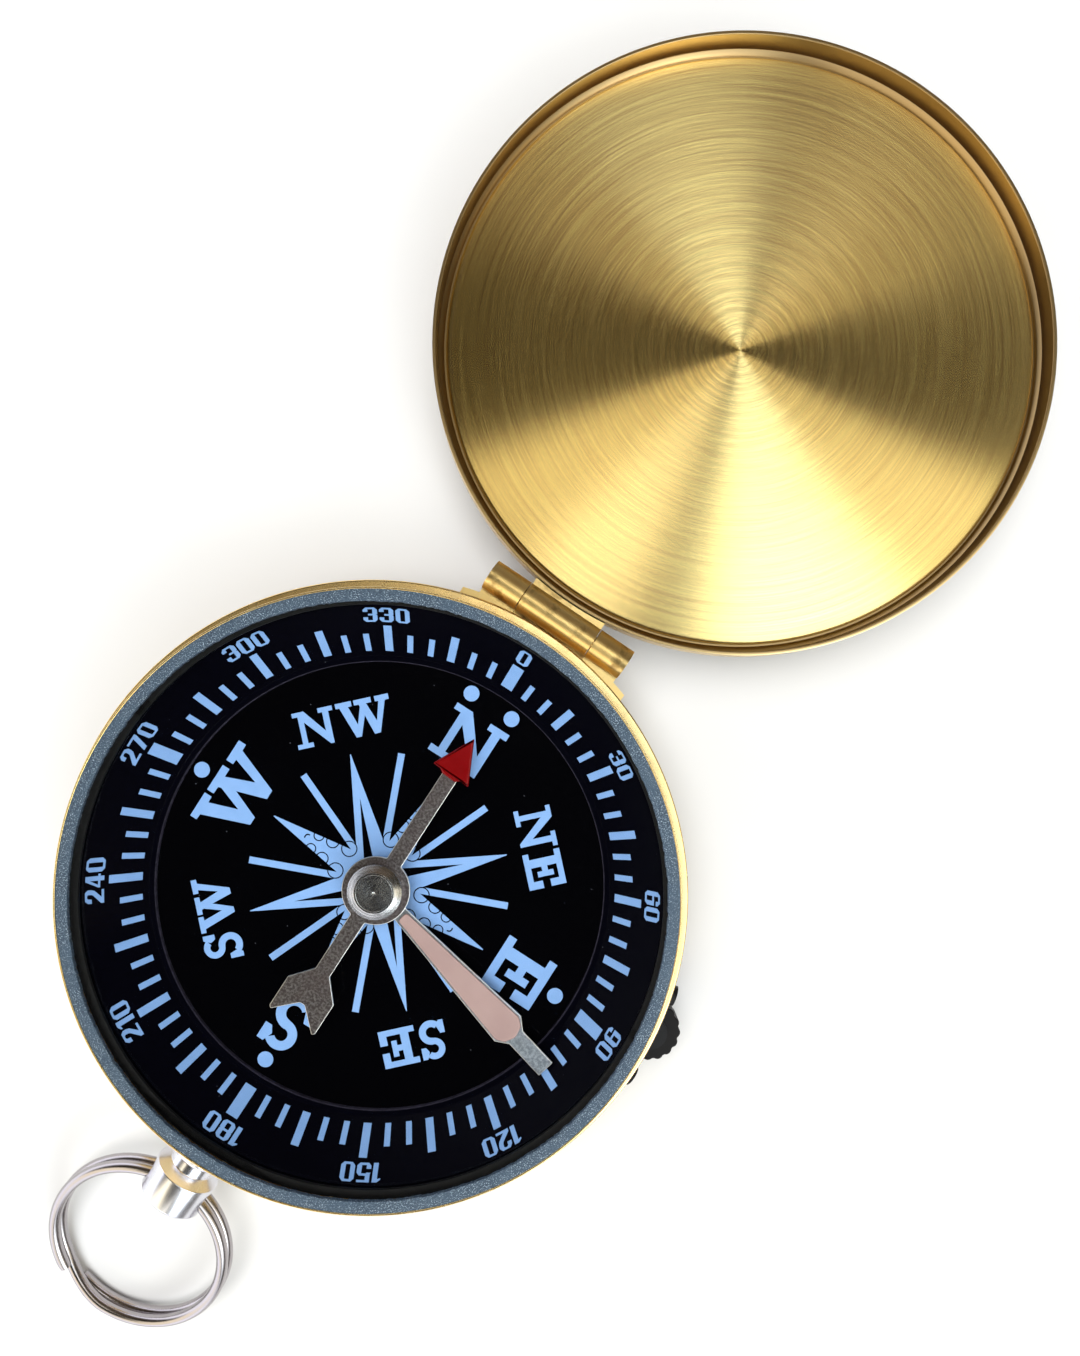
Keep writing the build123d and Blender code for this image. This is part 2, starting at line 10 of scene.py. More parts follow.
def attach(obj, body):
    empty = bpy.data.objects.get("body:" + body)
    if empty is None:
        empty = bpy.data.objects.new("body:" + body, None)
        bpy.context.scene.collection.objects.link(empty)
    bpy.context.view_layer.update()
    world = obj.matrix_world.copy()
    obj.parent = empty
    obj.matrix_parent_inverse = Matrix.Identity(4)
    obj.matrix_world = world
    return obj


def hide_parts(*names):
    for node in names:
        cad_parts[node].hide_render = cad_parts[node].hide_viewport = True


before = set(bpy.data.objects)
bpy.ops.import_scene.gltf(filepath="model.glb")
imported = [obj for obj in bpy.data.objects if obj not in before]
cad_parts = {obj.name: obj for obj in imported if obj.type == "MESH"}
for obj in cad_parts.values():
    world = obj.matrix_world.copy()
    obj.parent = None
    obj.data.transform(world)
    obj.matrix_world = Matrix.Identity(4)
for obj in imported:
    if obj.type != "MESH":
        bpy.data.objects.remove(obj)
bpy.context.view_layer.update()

MM = 0.001
TAU = 2 * math.pi
scene = bpy.context.scene

# ------------------------------------------------------------------ camera
# Straight down, over a point between the hinge and the dial, turned so that the hinge lies up and to
# the right.
VIEW_TURN = math.radians(34.0)
CAMERA_RIGHT, CAMERA_UP = 12.10, 15.67       # from the dial's centre, along the picture's own directions
CAMERA_HEIGHT = 81.6
LENS, SENSOR = 27.26, 36
IMAGE_RIGHT = Vector((math.cos(VIEW_TURN), math.sin(VIEW_TURN), 0))
IMAGE_UP = Vector((-math.sin(VIEW_TURN), math.cos(VIEW_TURN), 0))
camera_data = bpy.data.cameras.new("camera")
camera = bpy.data.objects.new("camera", camera_data)
scene.collection.objects.link(camera)
over = IMAGE_RIGHT * CAMERA_RIGHT + IMAGE_UP * CAMERA_UP
camera.location = (over + Vector((0, 0, CAMERA_HEIGHT))) * MM
camera.rotation_euler = (0, 0, VIEW_TURN)
camera_data.sensor_width = SENSOR
camera_data.lens = LENS
camera_data.clip_start = 0.001
camera_data.clip_end = 10
scene.camera = camera
scene.view_settings.view_transform = "Standard"


# ------------------------------------------------------------------ mesh helpers (millimetres in, metres out)
SHARP = 32          # an edge that turns by more degrees than this shades as an edge
WELD = 1e-7         # points nearer than this, in metres, are one
made = []           # every piece, in the order made


def new_object(name, verts, faces, place=None):
    """An object with a welded mesh, its faces turned outward, from millimetre coordinates."""
    mesh = bpy.data.meshes.new(name)
    points = [Vector(v) for v in verts]
    if place is not None:
        points = [place @ p for p in points]
    mesh.from_pydata([tuple(p * MM) for p in points], [], faces)
    mesh.validate()
    bm = bmesh.new()
    bm.from_mesh(mesh)
    bmesh.ops.remove_doubles(bm, verts=bm.verts, dist=WELD)
    bmesh.ops.recalc_face_normals(bm, faces=bm.faces)
    bm.to_mesh(mesh)
    bm.free()
    obj = bpy.data.objects.new(name, mesh)
    scene.collection.objects.link(obj)
    return obj


def smooth(mesh, sharp=SHARP):
    mesh.shade_smooth()
    mesh.set_sharp_from_angle(angle=math.radians(sharp))


def piece(name, verts, faces, body, slot, material, node=None, sharp=SHARP, place=None):
    """A piece of the object, riding on a body and, if asked, standing for a CAD node."""
    obj = new_object(name, verts, faces, place)
    smooth(obj.data, sharp)
    obj.data.materials.append(material)
    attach(obj, body)
    if node:
        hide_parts(node)
    made.append(obj)
    return obj


def apply_modifiers(obj):
    """Make the shape that an object's modifiers give it its own mesh."""
    mesh = bpy.data.meshes.new_from_object(obj.evaluated_get(bpy.context.evaluated_depsgraph_get()))
    obj.modifiers.clear()
    old = obj.data
    name = old.name
    obj.data = mesh
    bpy.data.meshes.remove(old)
    mesh.name = name


def keep_flats_flat(obj):
    """Weight the shading by face size, so a broad face stays flat beside its small roundings."""
    modifier = obj.modifiers.new("flats", "WEIGHTED_NORMAL")
    modifier.mode = "FACE_AREA"
    modifier.weight = 100
    modifier.keep_sharp = True
    apply_modifiers(obj)


STRAIGHT = math.radians(88)     # half the angle between two runs that don't need rounding


def soften(points, radii, steps=5):
    """A closed outline with its corners rounded, by one radius for each point."""
    count = len(points)
    out = []
    for i, corner in enumerate(points):
        p = Vector(corner)
        a = Vector(points[i - 1]) - p
        b = Vector(points[(i + 1) % count]) - p
        if radii[i] <= 0 or a.length < 1e-6 or b.length < 1e-6:
            out.append(tuple(p))
            continue
        half = a.angle(b) / 2
        if half > STRAIGHT:
            out.append(tuple(p))
            continue
        reach = min(radii[i] / math.tan(half), a.length * 0.45, b.length * 0.45)
        start, end = p + a.normalized() * reach, p + b.normalized() * reach
        for k in range(steps + 1):
            t = k / steps
            out.append(tuple(start * (1 - t) ** 2 + p * 2 * t * (1 - t) + end * t**2))
    return out


def lathe(profile, segments=192, wobble=None):
    """Verts and faces of a closed profile of (radius, z) turned about Z.
    wobble(index, angle) adds to the radius."""
    verts, rows = [], []
    for i, (r, z) in enumerate(profile):
        if r < 1e-6:
            rows.append([len(verts)])
            verts.append((0, 0, z))
            continue
        rows.append(list(range(len(verts), len(verts) + segments)))
        for s in range(segments):
            angle = TAU * s / segments
            radius = r + (wobble(i, angle) if wobble else 0)
            verts.append((radius * math.cos(angle), radius * math.sin(angle), z))
    faces = []
    for i, row in enumerate(rows):
        other = rows[(i + 1) % len(rows)]
        if len(row) == 1 and len(other) == 1:
            continue
        for s in range(segments):
            t = (s + 1) % segments
            if len(row) == 1:
                faces.append((row[0], other[s], other[t]))
            elif len(other) == 1:
                faces.append((row[s], row[t], other[0]))
            else:
                faces.append((row[s], row[t], other[t], other[s]))
    return verts, faces


def signed_area(points):
    return sum(
        a[0] * b[1] - b[0] * a[1] for a, b in zip(points, list(points[1:]) + [points[0]])
    ) / 2


def offset_outline(points, distance):
    """A counterclockwise outline moved inward by distance, with mitred corners."""
    out = []
    count = len(points)
    for i in range(count):
        before, here, after = (Vector(points[j]) for j in (i - 1, i, (i + 1) % count))
        d1, d2 = (here - before).normalized(), (after - here).normalized()
        n1, n2 = Vector((-d1.y, d1.x)), Vector((-d2.y, d2.x))
        middle = n1 + n2
        if middle.length < 1e-6:
            middle = n1
        middle.normalize()
        reach = distance / max(middle.dot(n1), 0.35)
        out.append(tuple(here + middle * reach))
    return out


def slab(outline, low, high, edge, steps=3, foot=0.0):
    """A flat plate on an outline, its top edges rounded by edge, its lower ones by foot.
    The top face comes last."""
    if signed_area(outline) < 0:
        outline = outline[::-1]
    rings = []
    if foot:
        for k in range(steps + 1):
            t = math.pi / 2 * k / steps
            rings.append((foot * (1 - math.sin(t)), low + foot * (1 - math.cos(t))))
    else:
        rings.append((0, low))
    for k in range(steps + 1):
        t = math.pi / 2 * k / steps
        rings.append((edge * (1 - math.cos(t)), high - edge * (1 - math.sin(t))))
    count = len(outline)
    verts, faces = [], []
    for inset, z in rings:
        ring = offset_outline(outline, inset) if inset else outline
        verts += [(x, y, z) for x, y in ring]
    for k in range(len(rings) - 1):
        for i in range(count):
            j = (i + 1) % count
            faces.append((k * count + i, k * count + j, (k + 1) * count + j, (k + 1) * count + i))
    faces.append(tuple(range(count))[::-1])
    faces.append(tuple(range((len(rings) - 1) * count, len(rings) * count)))
    return verts, faces


LEVEL = 0.97        # how upright a face's normal is where the face counts as flat


def edge_material(obj, material):
    """Give every face that doesn't lie flat its own material."""
    obj.data.materials.append(material)
    for face in obj.data.polygons:
        face.material_index = 0 if abs(face.normal.z) > LEVEL else 1


def bearing_matrix(degrees, z=0.0):
    """Turns local +Y to a bearing clockwise from north."""
    return Matrix.Translation((0, 0, z)) @ Matrix.Rotation(-math.radians(degrees), 4, "Z")


def flat_fill(adds, cuts=()):
    """Triangles of the union of the adds, less the cuts, as 2-D points and faces."""
    points, loops = [], []
    for poly in list(adds) + list(cuts):
        if signed_area(poly) < 0:
            poly = poly[::-1]
        loops.append(list(range(len(points), len(points) + len(poly))))
        points += [Vector(p) for p in poly]
    verts, _, faces, _, _, origins = delaunay_2d_cdt(points, [], loops, 1, 1e-5)
    keep = [
        tuple(f) for f, o in zip(faces, origins)
        if any(i < len(adds) for i in o) and not any(i >= len(adds) for i in o)
    ]
    return [tuple(v) for v in verts], keep


def circle(x, y, r, segments=32):
    return [
        (x + r * math.cos(TAU * k / segments), y + r * math.sin(TAU * k / segments)) for k in range(segments)
    ]


def annulus_arc(x, y, r, width, start, end, segments=28):
    """A curved stroke about a centre, from one angle to another, as a polygon."""
    angles = [math.radians(start + (end - start) * k / segments) for k in range(segments + 1)]
    outer = [(x + (r + width / 2) * math.cos(a), y + (r + width / 2) * math.sin(a)) for a in angles]
    inner = [(x + (r - width / 2) * math.cos(a), y + (r - width / 2) * math.sin(a)) for a in angles[::-1]]
    return outer + inner


def cut(obj, verts, faces, place=None):
    """Cut a closed shape out of a piece."""
    cutter = new_object("cutter", verts, faces, place)
    modifier = obj.modifiers.new("cut", "BOOLEAN")
    modifier.operation = "DIFFERENCE"
    modifier.solver = "EXACT"
    modifier.object = cutter
    apply_modifiers(obj)
    bpy.data.objects.remove(cutter)
    smooth(obj.data)


# ------------------------------------------------------------------ materials
def bore(obj, radius, low, high, segments=48, place=None):
    """Cut a round hole along Z out of a piece."""
    cut(obj, *lathe([(0, low), (radius, low), (radius, high), (0, high)], segments), place)


WIDEST = 25         # millimetres: a radius is given to a ramp as a part of this


class Nodes:
    """A short way to write a node tree. A value may be a number, a colour or a node's output."""

    def __init__(self, tree):
        self.tree = tree

    def add(self, kind, **values):
        node = self.tree.nodes.new(kind)
        for key, value in values.items():
            setattr(node, key, value)
        return node

    def link(self, a, b):
        self.tree.links.new(a, b)

    def math(self, operation, a, b=None):
        node = self.add("ShaderNodeMath", operation=operation)
        for socket, value in zip(node.inputs, (a, b)):
            if value is None:
                continue
            if isinstance(value, (int, float)):
                socket.default_value = value
            else:
                self.link(value, socket)
        return node.outputs[0]

    def ramp(self, factor, stops):
        node = self.add("ShaderNodeValToRGB")
        ramp = node.color_ramp
        while len(ramp.elements) < len(stops):
            ramp.elements.new(0.5)
        for element, (position, colour) in zip(ramp.elements, stops):
            element.position = position
            element.color = (*colour, 1) if isinstance(colour, tuple) else (colour, colour, colour, 1)
        self.link(factor, node.inputs["Fac"])
        return node.outputs["Color"]

    def mix(self, factor, a, b):
        node = self.add("ShaderNodeMix", data_type="RGBA")
        for socket, value in ((node.inputs[0], factor), (node.inputs[6], a), (node.inputs[7], b)):
            if isinstance(value, tuple):
                socket.default_value = (*value, 1)
            else:
                self.link(value, socket)
        return node.outputs[2]

    def length(self, a, b):
        return self.math("SQRT", self.math("ADD", self.math("MULTIPLY", a, a), self.math("MULTIPLY", b, b)))


class Paint(Nodes):
    """A material's nodes, with textures that lie on the object."""

    def __init__(self, name):
        self.material = bpy.data.materials.new(name)
        self.material.use_nodes = True
        super().__init__(self.material.node_tree)
        self.shader = self.tree.nodes["Principled BSDF"]

    def coords(self):
        return self.add("ShaderNodeTexCoord").outputs["Object"]

    def scaled(self, vector, scale):
        node = self.add("ShaderNodeVectorMath", operation="MULTIPLY")
        self.link(vector, node.inputs[0])
        node.inputs[1].default_value = scale
        return node.outputs[0]

    def noise(self, vector, scale, detail=2.0, roughness=0.5):
        node = self.add("ShaderNodeTexNoise")
        node.inputs["Scale"].default_value = scale
        node.inputs["Detail"].default_value = detail
        node.inputs["Roughness"].default_value = roughness
        self.link(vector, node.inputs["Vector"])
        return node.outputs["Fac"]

    def voronoi(self, vector, scale):
        node = self.add("ShaderNodeTexVoronoi")
        node.inputs["Scale"].default_value = scale
        self.link(vector, node.inputs["Vector"])
        return node.outputs["Distance"]

    def span(self, value, low, high):
        """Map 0..1 to low..high."""
        return self.math("ADD", self.math("MULTIPLY", value, high - low), low)

    def bump(self, height, strength, distance):
        """Relief from a texture, its depth in millimetres."""
        node = self.add("ShaderNodeBump")
        node.inputs["Strength"].default_value = strength
        node.inputs["Distance"].default_value = distance * MM
        self.link(height, node.inputs["Height"])
        self.link(node.outputs[0], self.shader.inputs["Normal"])

    def set(self, **values):
        names = {
            "color": "Base Color", "metallic": "Metallic", "roughness": "Roughness", "ior": "IOR",
            "anisotropic": "Anisotropic", "coat": "Coat Weight", "coat_roughness": "Coat Roughness",
            "specular": "Specular IOR Level", "grain_turn": "Anisotropic Rotation",
        }
        for key, value in values.items():
            socket = self.shader.inputs[names[key]]
            if isinstance(value, bpy.types.NodeSocket):
                self.link(value, socket)
            else:
                socket.default_value = value

    def polar(self, centre, ring_scale, arc_scale):
        """Coordinates that run round a vertical axis, fine across the rings and long along them, and
        the distance from the axis as a part of WIDEST."""
        shift = self.add("ShaderNodeVectorMath", operation="SUBTRACT")
        self.link(self.coords(), shift.inputs[0])
        shift.inputs[1].default_value = [c * MM for c in centre]
        parts = self.add("ShaderNodeSeparateXYZ")
        self.link(shift.outputs[0], parts.inputs[0])
        x, y = parts.outputs[0], parts.outputs[1]
        radius = self.length(x, y)
        safe = self.math("MAXIMUM", radius, 1e-6)
        out = self.add("ShaderNodeCombineXYZ")
        self.link(self.math("MULTIPLY", radius, ring_scale / MM), out.inputs[0])
        self.link(self.math("MULTIPLY", self.math("DIVIDE", x, safe), arc_scale), out.inputs[1])
        self.link(self.math("MULTIPLY", self.math("DIVIDE", y, safe), arc_scale), out.inputs[2])
        return out.outputs[0], self.math("MULTIPLY", radius, 1 / (WIDEST * MM))


def brass(name, tint=(0.80, 0.62, 0.31), rough=(0.16, 0.34), streak=(60, 60, 900), bump=0.12, stain=0.0):
    """Worn polished brass with fine drawn lines, faint tarnish and, if asked, dark stains."""
    n = Paint(name)
    where = n.coords()
    lines = n.noise(n.scaled(where, streak), 12, 3)
    cloud = n.noise(where, 260, 3, 0.6)
    darker = tuple(c * 0.72 for c in tint)
    redder = (tint[0] * 1.02, tint[1] * 0.9, tint[2] * 0.72)
    colour = n.mix(n.ramp(cloud, [(0.35, 0.0), (0.75, 0.7)]), tint, redder)
    colour = n.mix(n.ramp(lines, [(0.56, 0.0), (0.8, 0.5)]), colour, darker)
    if stain:
        spots = n.noise(where, 420, 4, 0.6)
        colour = n.mix(n.ramp(spots, [(0.56, 0.0), (0.66, stain)]), colour, (0.20, 0.11, 0.03))
    n.set(color=colour, metallic=1.0, roughness=n.span(n.noise(where, 900, 3), *rough))
    n.bump(lines, bump, 0.012)
    return n.material


FADE = 0.004        # how softly a band round the axis ends, as a part of WIDEST


def spun_metal(name, centre, tint, ring_scale=6.5, aniso=1.0, rough=0.205, groove_shade=None):
    """Metal turned on a lathe: anisotropic, with rings of many depths. Between the two radii of its last
    argument, if given, it is darkened by painted shade."""
    n = Paint(name)
    where, radius = n.polar(centre, ring_scale, 1.7)
    rings = n.noise(where, 1.0, 5, 0.75)
    fine, _ = n.polar(centre, ring_scale * 2.6, 2.4)
    fine = n.noise(fine, 1.0, 2, 0.5)
    both = n.math("ADD", n.math("MULTIPLY", rings, 0.6), n.math("MULTIPLY", fine, 0.4))
    coarse, _ = n.polar(centre, ring_scale * 0.45, 0.12)
    coarse = n.noise(coarse, 1.0, 2, 0.5)
    light = tuple(min(1, c * 1.14) for c in tint)
    dark = tuple(c * 0.76 for c in tint)
    middle = n.ramp(radius, [(0.0, 0.55), (0.45, 0.12), (0.8, 0.05)])
    shade = n.math("ADD", n.math("MULTIPLY", both, 0.75), n.math("MULTIPLY", coarse, 0.25))
    colour = n.mix(n.ramp(shade, [(0.40, 0.0), (0.60, 1.0)]), dark, light)
    colour = n.mix(n.math("MULTIPLY", n.ramp(coarse, [(0.50, 0.0), (0.56, 1.0)]), middle), colour,
                   tuple(c * 0.5 for c in tint))
    # painted shade: a dark brown band between the two radii, for the groove and wall beside the lid's plate
    if groove_shade:
        start, end = (r / WIDEST for r in groove_shade)
        band = n.ramp(radius, [(start - FADE, 0.0), (start, 0.85), (end, 0.85), (end + FADE, 0.0)])
        colour = n.mix(band, colour, (0.30, 0.20, 0.09))
    n.set(color=colour, metallic=1.0,
          roughness=n.span(both, rough - 0.05, rough + 0.05), anisotropic=aniso, grain_turn=0.25)
    tangent = n.add("ShaderNodeTangent", direction_type="RADIAL", axis="Z")
    n.link(tangent.outputs[0], n.shader.inputs["Tangent"])
    n.bump(both, 0.35, 0.01)
    return n.material


def nickel(name, tint=(0.82, 0.82, 0.88), rough=(0.16, 0.3), scale=700):
    """Plain pale metal, slightly uneven in colour and gloss."""
    n = Paint(name)
    where = n.coords()
    marks = n.noise(where, scale, 4, 0.6)
    n.set(color=n.mix(marks, tuple(c * 0.86 for c in tint), tint), metallic=1.0,
          roughness=n.span(marks, *rough))
    n.bump(marks, 0.08, 0.01)
    return n.material


def speckled_steel(name, dark, light, warm, rough=(0.28, 0.5)):
    """Grained blued steel strip, as on the needle."""
    n = Paint(name)
    where = n.coords()
    grain = n.noise(where, 5200, 2, 0.6)
    cloud = n.noise(where, 420, 2)
    colour = n.mix(n.ramp(grain, [(0.42, 0.0), (0.64, 1.0)]), dark, light)
    colour = n.mix(n.ramp(cloud, [(0.4, 0.0), (0.7, 0.6)]), colour, warm)
    n.set(color=colour, metallic=1.0, roughness=n.span(grain, *rough))
    n.bump(grain, 0.2, 0.01)
    return n.material


def black_plastic(name, tint=(0.0003, 0.0003, 0.0005), rough=(0.12, 0.14), specks=True, specular=0.08,
                  lip=None):
    """Gloss black moulding with a little dust. At radius lip it has a painted highlight band."""
    n = Paint(name)
    where = n.coords()
    grain = n.noise(where, 2600, 2)
    colour = n.mix(grain, tint, tuple(c * 1.6 for c in tint))
    if specks:
        dust = n.voronoi(where, 640)
        colour = n.mix(n.ramp(dust, [(0.0, 0.6), (0.035, 0.0)]), colour, (0.16, 0.17, 0.2))
    # painted highlight: a thin pale band at the lip, broken up by the grain, stands in for light caught on
    # the rounded edge
    if lip:
        _, radius = n.polar((0, 0, 0), 1, 1)
        edge = lip / WIDEST
        band = n.ramp(radius, [(edge - FADE, 0.0), (edge, 1.0), (edge + FADE / 2, 0.0)])
        wear_and_lip_highlight = n.math("MULTIPLY", band, n.ramp(grain, [(0.2, 0.4), (0.7, 1.0)]))
        colour = n.mix(wear_and_lip_highlight, colour, (0.055, 0.05, 0.075))
    n.set(color=colour, roughness=n.span(grain, *rough), specular=specular)
    n.bump(grain, 0.02, 0.003)
    return n.material


def print_ink(name):
    """Pale blue screen print, a little patchy and worn."""
    n = Paint(name)
    where = n.coords()
    patches = n.noise(where, 900, 3)
    wear_and_lip_highlight = n.noise(where, 4200, 2)
    colour = n.mix(patches, (0.145, 0.27, 0.51), (0.19, 0.325, 0.58))
    colour = n.mix(n.ramp(wear_and_lip_highlight, [(0.7, 0.0), (0.8, 0.35)]), colour, (0.2, 0.27, 0.4))
    n.set(color=colour, roughness=0.55, specular=0.2)
    n.bump(wear_and_lip_highlight, 0.1, 0.004)
    return n.material


def fleck_paint(name):
    """Blue-grey hammered paint with light flecks."""
    n = Paint(name)
    where = n.coords()
    cells = n.voronoi(where, 5200)
    fleck = n.noise(where, 13000, 2, 0.6)
    cloud = n.noise(where, 700, 2)
    colour = n.ramp(fleck, [(0.3, (0.010, 0.018, 0.032)), (0.5, (0.025, 0.044, 0.070)),
                            (0.59, (0.055, 0.085, 0.12)), (0.66, (0.38, 0.46, 0.52))])
    colour = n.mix(n.ramp(cloud, [(0.35, 0.0), (0.7, 0.5)]), colour, (0.034, 0.060, 0.092))
    n.set(color=colour, metallic=0.25, roughness=n.span(cells, 0.35, 0.7))
    n.bump(fleck, 0.5, 0.02)
    return n.material


def enamel(name):
    """Dark red enamel that has flowed before it set."""
    n = Paint(name)
    where = n.coords()
    flow = n.noise(where, 500, 2)
    n.set(color=n.mix(flow, (0.11, 0.0002, 0.0005), (0.15, 0.0003, 0.0007)),
          roughness=n.span(flow, 0.12, 0.22), specular=0.15, coat=0.15, coat_roughness=0.06)
    n.bump(flow, 0.15, 0.03)
    return n.material


def lume(name):
    """The pointer's filling, a dusty pink-beige paste."""
    n = Paint(name)
    where = n.coords()
    cloud = n.noise(where, 420, 3, 0.6)
    grit = n.noise(where, 3800, 2)
    colour = n.mix(cloud, (0.27, 0.175, 0.165), (0.35, 0.245, 0.225))
    colour = n.mix(n.ramp(grit, [(0.62, 0.0), (0.8, 0.4)]), colour, (0.22, 0.16, 0.15))
    n.set(color=colour, roughness=n.span(cloud, 0.32, 0.5), specular=0.4, metallic=0.15)
    n.bump(grit, 0.12, 0.02)
    return n.material


def clear_glass(name):
    """A thin pane: it mirrors a little, more at a slant, and lets lamps through."""
    n = Paint(name)
    n.tree.nodes.remove(n.shader)
    through = n.add("ShaderNodeBsdfTransparent")
    through.inputs["Color"].default_value = (0.985, 0.99, 0.99, 1)
    gloss = n.add("ShaderNodeBsdfGlossy")
    gloss.inputs["Roughness"].default_value = 0.02
    slant = n.add("ShaderNodeLayerWeight")
    slant.inputs["Blend"].default_value = 0.5
    shine = n.span(n.math("POWER", slant.outputs["Facing"], 5), 0.025, 0.8)
    blend = n.add("ShaderNodeMixShader")
    n.link(shine, blend.inputs[0])
    n.link(through.outputs[0], blend.inputs[1])
    n.link(gloss.outputs[0], blend.inputs[2])
    n.link(blend.outputs[0], n.tree.nodes["Material Output"].inputs["Surface"])
    return n.material


LID_CENTRE = (0, 47.9, 0)
BRASS = brass("brass")
HINGE_BRASS = brass(
    "hinge_brass", (0.88, 0.66, 0.28), (0.26, 0.42), streak=(900, 60, 60), bump=0.3, stain=0.7
)
PLATE_BRASS = spun_metal("lid_plate_brass", LID_CENTRE, (0.98, 0.71, 0.29))
# painted shade darkens the shell's groove and inner wall, from 21.0 to 22.28 mm out
SHELL_BRASS = spun_metal(
    "lid_shell_brass", LID_CENTRE, (0.66, 0.49, 0.24), 6, aniso=0.4, rough=0.3, groove_shade=(21.0, 22.28)
)
NICKEL = nickel("nickel")
CAP_NICKEL = spun_metal("cap_nickel", (0, 0, 0), (0.63, 0.62, 0.615), 10, aniso=0.55, rough=0.22)
RING_STEEL = nickel("ring_steel", (0.44, 0.41, 0.42), (0.14, 0.3), 500)
NEEDLE_STEEL = speckled_steel(
    "needle_steel", (0.12, 0.10, 0.10), (0.28, 0.26, 0.26), (0.16, 0.125, 0.125)
)
POINTER_STEEL = speckled_steel(
    "pointer_steel", (0.34, 0.37, 0.42), (0.60, 0.64, 0.69), (0.45, 0.47, 0.50), (0.26, 0.36)
)
CUT_EDGE = nickel("cut_edge", (0.86, 0.84, 0.80), (0.3, 0.45), 2600)
DIAL_BLACK = black_plastic("dial_black")
LIP_R = 16.9        # the scale's inner edge
# the scale's lip carries a painted highlight band
SCALE_BLACK = black_plastic(
    "scale_black", (0.0006, 0.0006, 0.0016), (0.13, 0.15), specular=0.02, lip=LIP_R + 0.02
)
WHEEL_BLACK = black_plastic("wheel_black", (0.003, 0.0025, 0.0025), (0.35, 0.5), False, 0.15)
BLACK_METAL = black_plastic("black_metal", (0.003, 0.003, 0.0035), (0.35, 0.5), False, 0.2)
INK = print_ink("print_ink")
FLECK = fleck_paint("fleck_paint")
RED = enamel("red_enamel")
LUME = lume("pointer_filling")
GLASS = clear_glass("clear_glass")
RUBBER = black_plastic("gasket_rubber", (0.01, 0.01, 0.01), (0.6, 0.8), False)
STEEL = nickel("plain_steel", (0.5, 0.49, 0.47), (0.25, 0.45))
JEWEL = enamel("jewel")
GEAR_BRASS = brass("gear_brass")

# the CAD nodes that keep their own meshes
for node, material in {
    "glass_gasket": RUBBER, "pivot_bush": GEAR_BRASS, "pivot_post": STEEL, "gear_washer": STEEL,
    "pointer_gear": GEAR_BRASS, "cap_jewel": JEWEL, "wheel_bracket": BLACK_METAL, "wheel_axle": STEEL,
    "bracket_rivets": BLACK_METAL, "stem_washer": STEEL, "hinge_pin": HINGE_BRASS,
    "hinge_case_leaf": HINGE_BRASS, "hinge_lid_leaf": HINGE_BRASS,
}.items():
    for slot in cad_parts[node].material_slots:
        slot.link = "OBJECT"
        slot.material = material

# ------------------------------------------------------------------ case, bezel, window
CASE_R, WALL_R, BORE_R = 22.75, 21.25, 22.0     # outside, inside, and the bore for the bezel
FLOOR_T, SEAT_Z, SHOULDER_Z = 0.8, 7.4, 8.0
case_profile = soften(
    [(0, 0), (CASE_R, 0), (CASE_R, SHOULDER_Z), (BORE_R, SHOULDER_Z), (BORE_R, SEAT_Z), (WALL_R, SEAT_Z),
     (WALL_R, FLOOR_T), (0, FLOOR_T)],
    [0, 1.0, 0.15, 0, 0, 0, 0.3, 0], 7,
)
case = piece("case_turned", *lathe(case_profile, 256), "case", "brass", BRASS, "case_body")
WHEEL_BEARING = 84.0
WINDOW_HALF, WINDOW_LOW, WINDOW_HIGH = 2.45, 1.6, 4.5
window = [(19.5, -WINDOW_HALF), (25.5, -WINDOW_HALF), (25.5, WINDOW_HALF), (19.5, WINDOW_HALF)]
wheel_turn = Matrix.Rotation(math.radians(90 - WHEEL_BEARING), 4, "Z")
cut(case, *slab(window, WINDOW_LOW, WINDOW_HIGH, 0.001, 1), wheel_turn)

BEZEL_TOP, BEZEL_R, BEZEL_IN, BEZEL_FOOT = 9.6, 22.1, 21.95, 21.65
bezel_profile = soften(
    [(BEZEL_FOOT, SEAT_Z), (BORE_R, SEAT_Z), (BORE_R, SHOULDER_Z), (BEZEL_R, SHOULDER_Z),
     (BEZEL_R, BEZEL_TOP), (BEZEL_IN, BEZEL_TOP), (BEZEL_IN, SHOULDER_Z), (BEZEL_FOOT, SHOULDER_Z)],
    [0, 0, 0, 0, 0.06, 0.06, 0, 0], 5,
)
piece("bezel_turned", *lathe(bezel_profile, 256), "case", "brass", BRASS, "bezel_ring")

GLASS_LOW, GLASS_HIGH, GLASS_R = 8.2, 9.2, 21.9
RETAINER_IN, RETAINER_TOP = 21.1, 9.55
random.seed(7)
JAGS = 720
jags = [random.uniform(-0.045, 0.05) if random.random() < 0.5 else 0 for _ in range(JAGS)]
retainer_profile = soften(
    [(RETAINER_IN, GLASS_HIGH), (BEZEL_IN, GLASS_HIGH), (BEZEL_IN, RETAINER_TOP),
     (RETAINER_IN, RETAINER_TOP)],
    [0, 0, 0.04, 0.05], 3,
)
inner_rows = {i for i, p in enumerate(retainer_profile) if p[0] < RETAINER_IN + 0.2}


def jagged(index, angle):
    """The paint's inner edge isn't cut clean."""
    return jags[int(angle / TAU * JAGS) % JAGS] if index in inner_rows else 0


piece("retaining_ring_flecked", *lathe(retainer_profile, JAGS, jagged), "case", "grey_ring", FLECK,
      "retaining_ring")

glass_profile = soften(
    [(0, GLASS_LOW), (GLASS_R, GLASS_LOW), (GLASS_R, GLASS_HIGH), (0, GLASS_HIGH)], [0, 0.1, 0.1, 0], 3
)
piece("glass_pane", *lathe(glass_profile, 192), "case", "glass", GLASS, "crystal_glass")

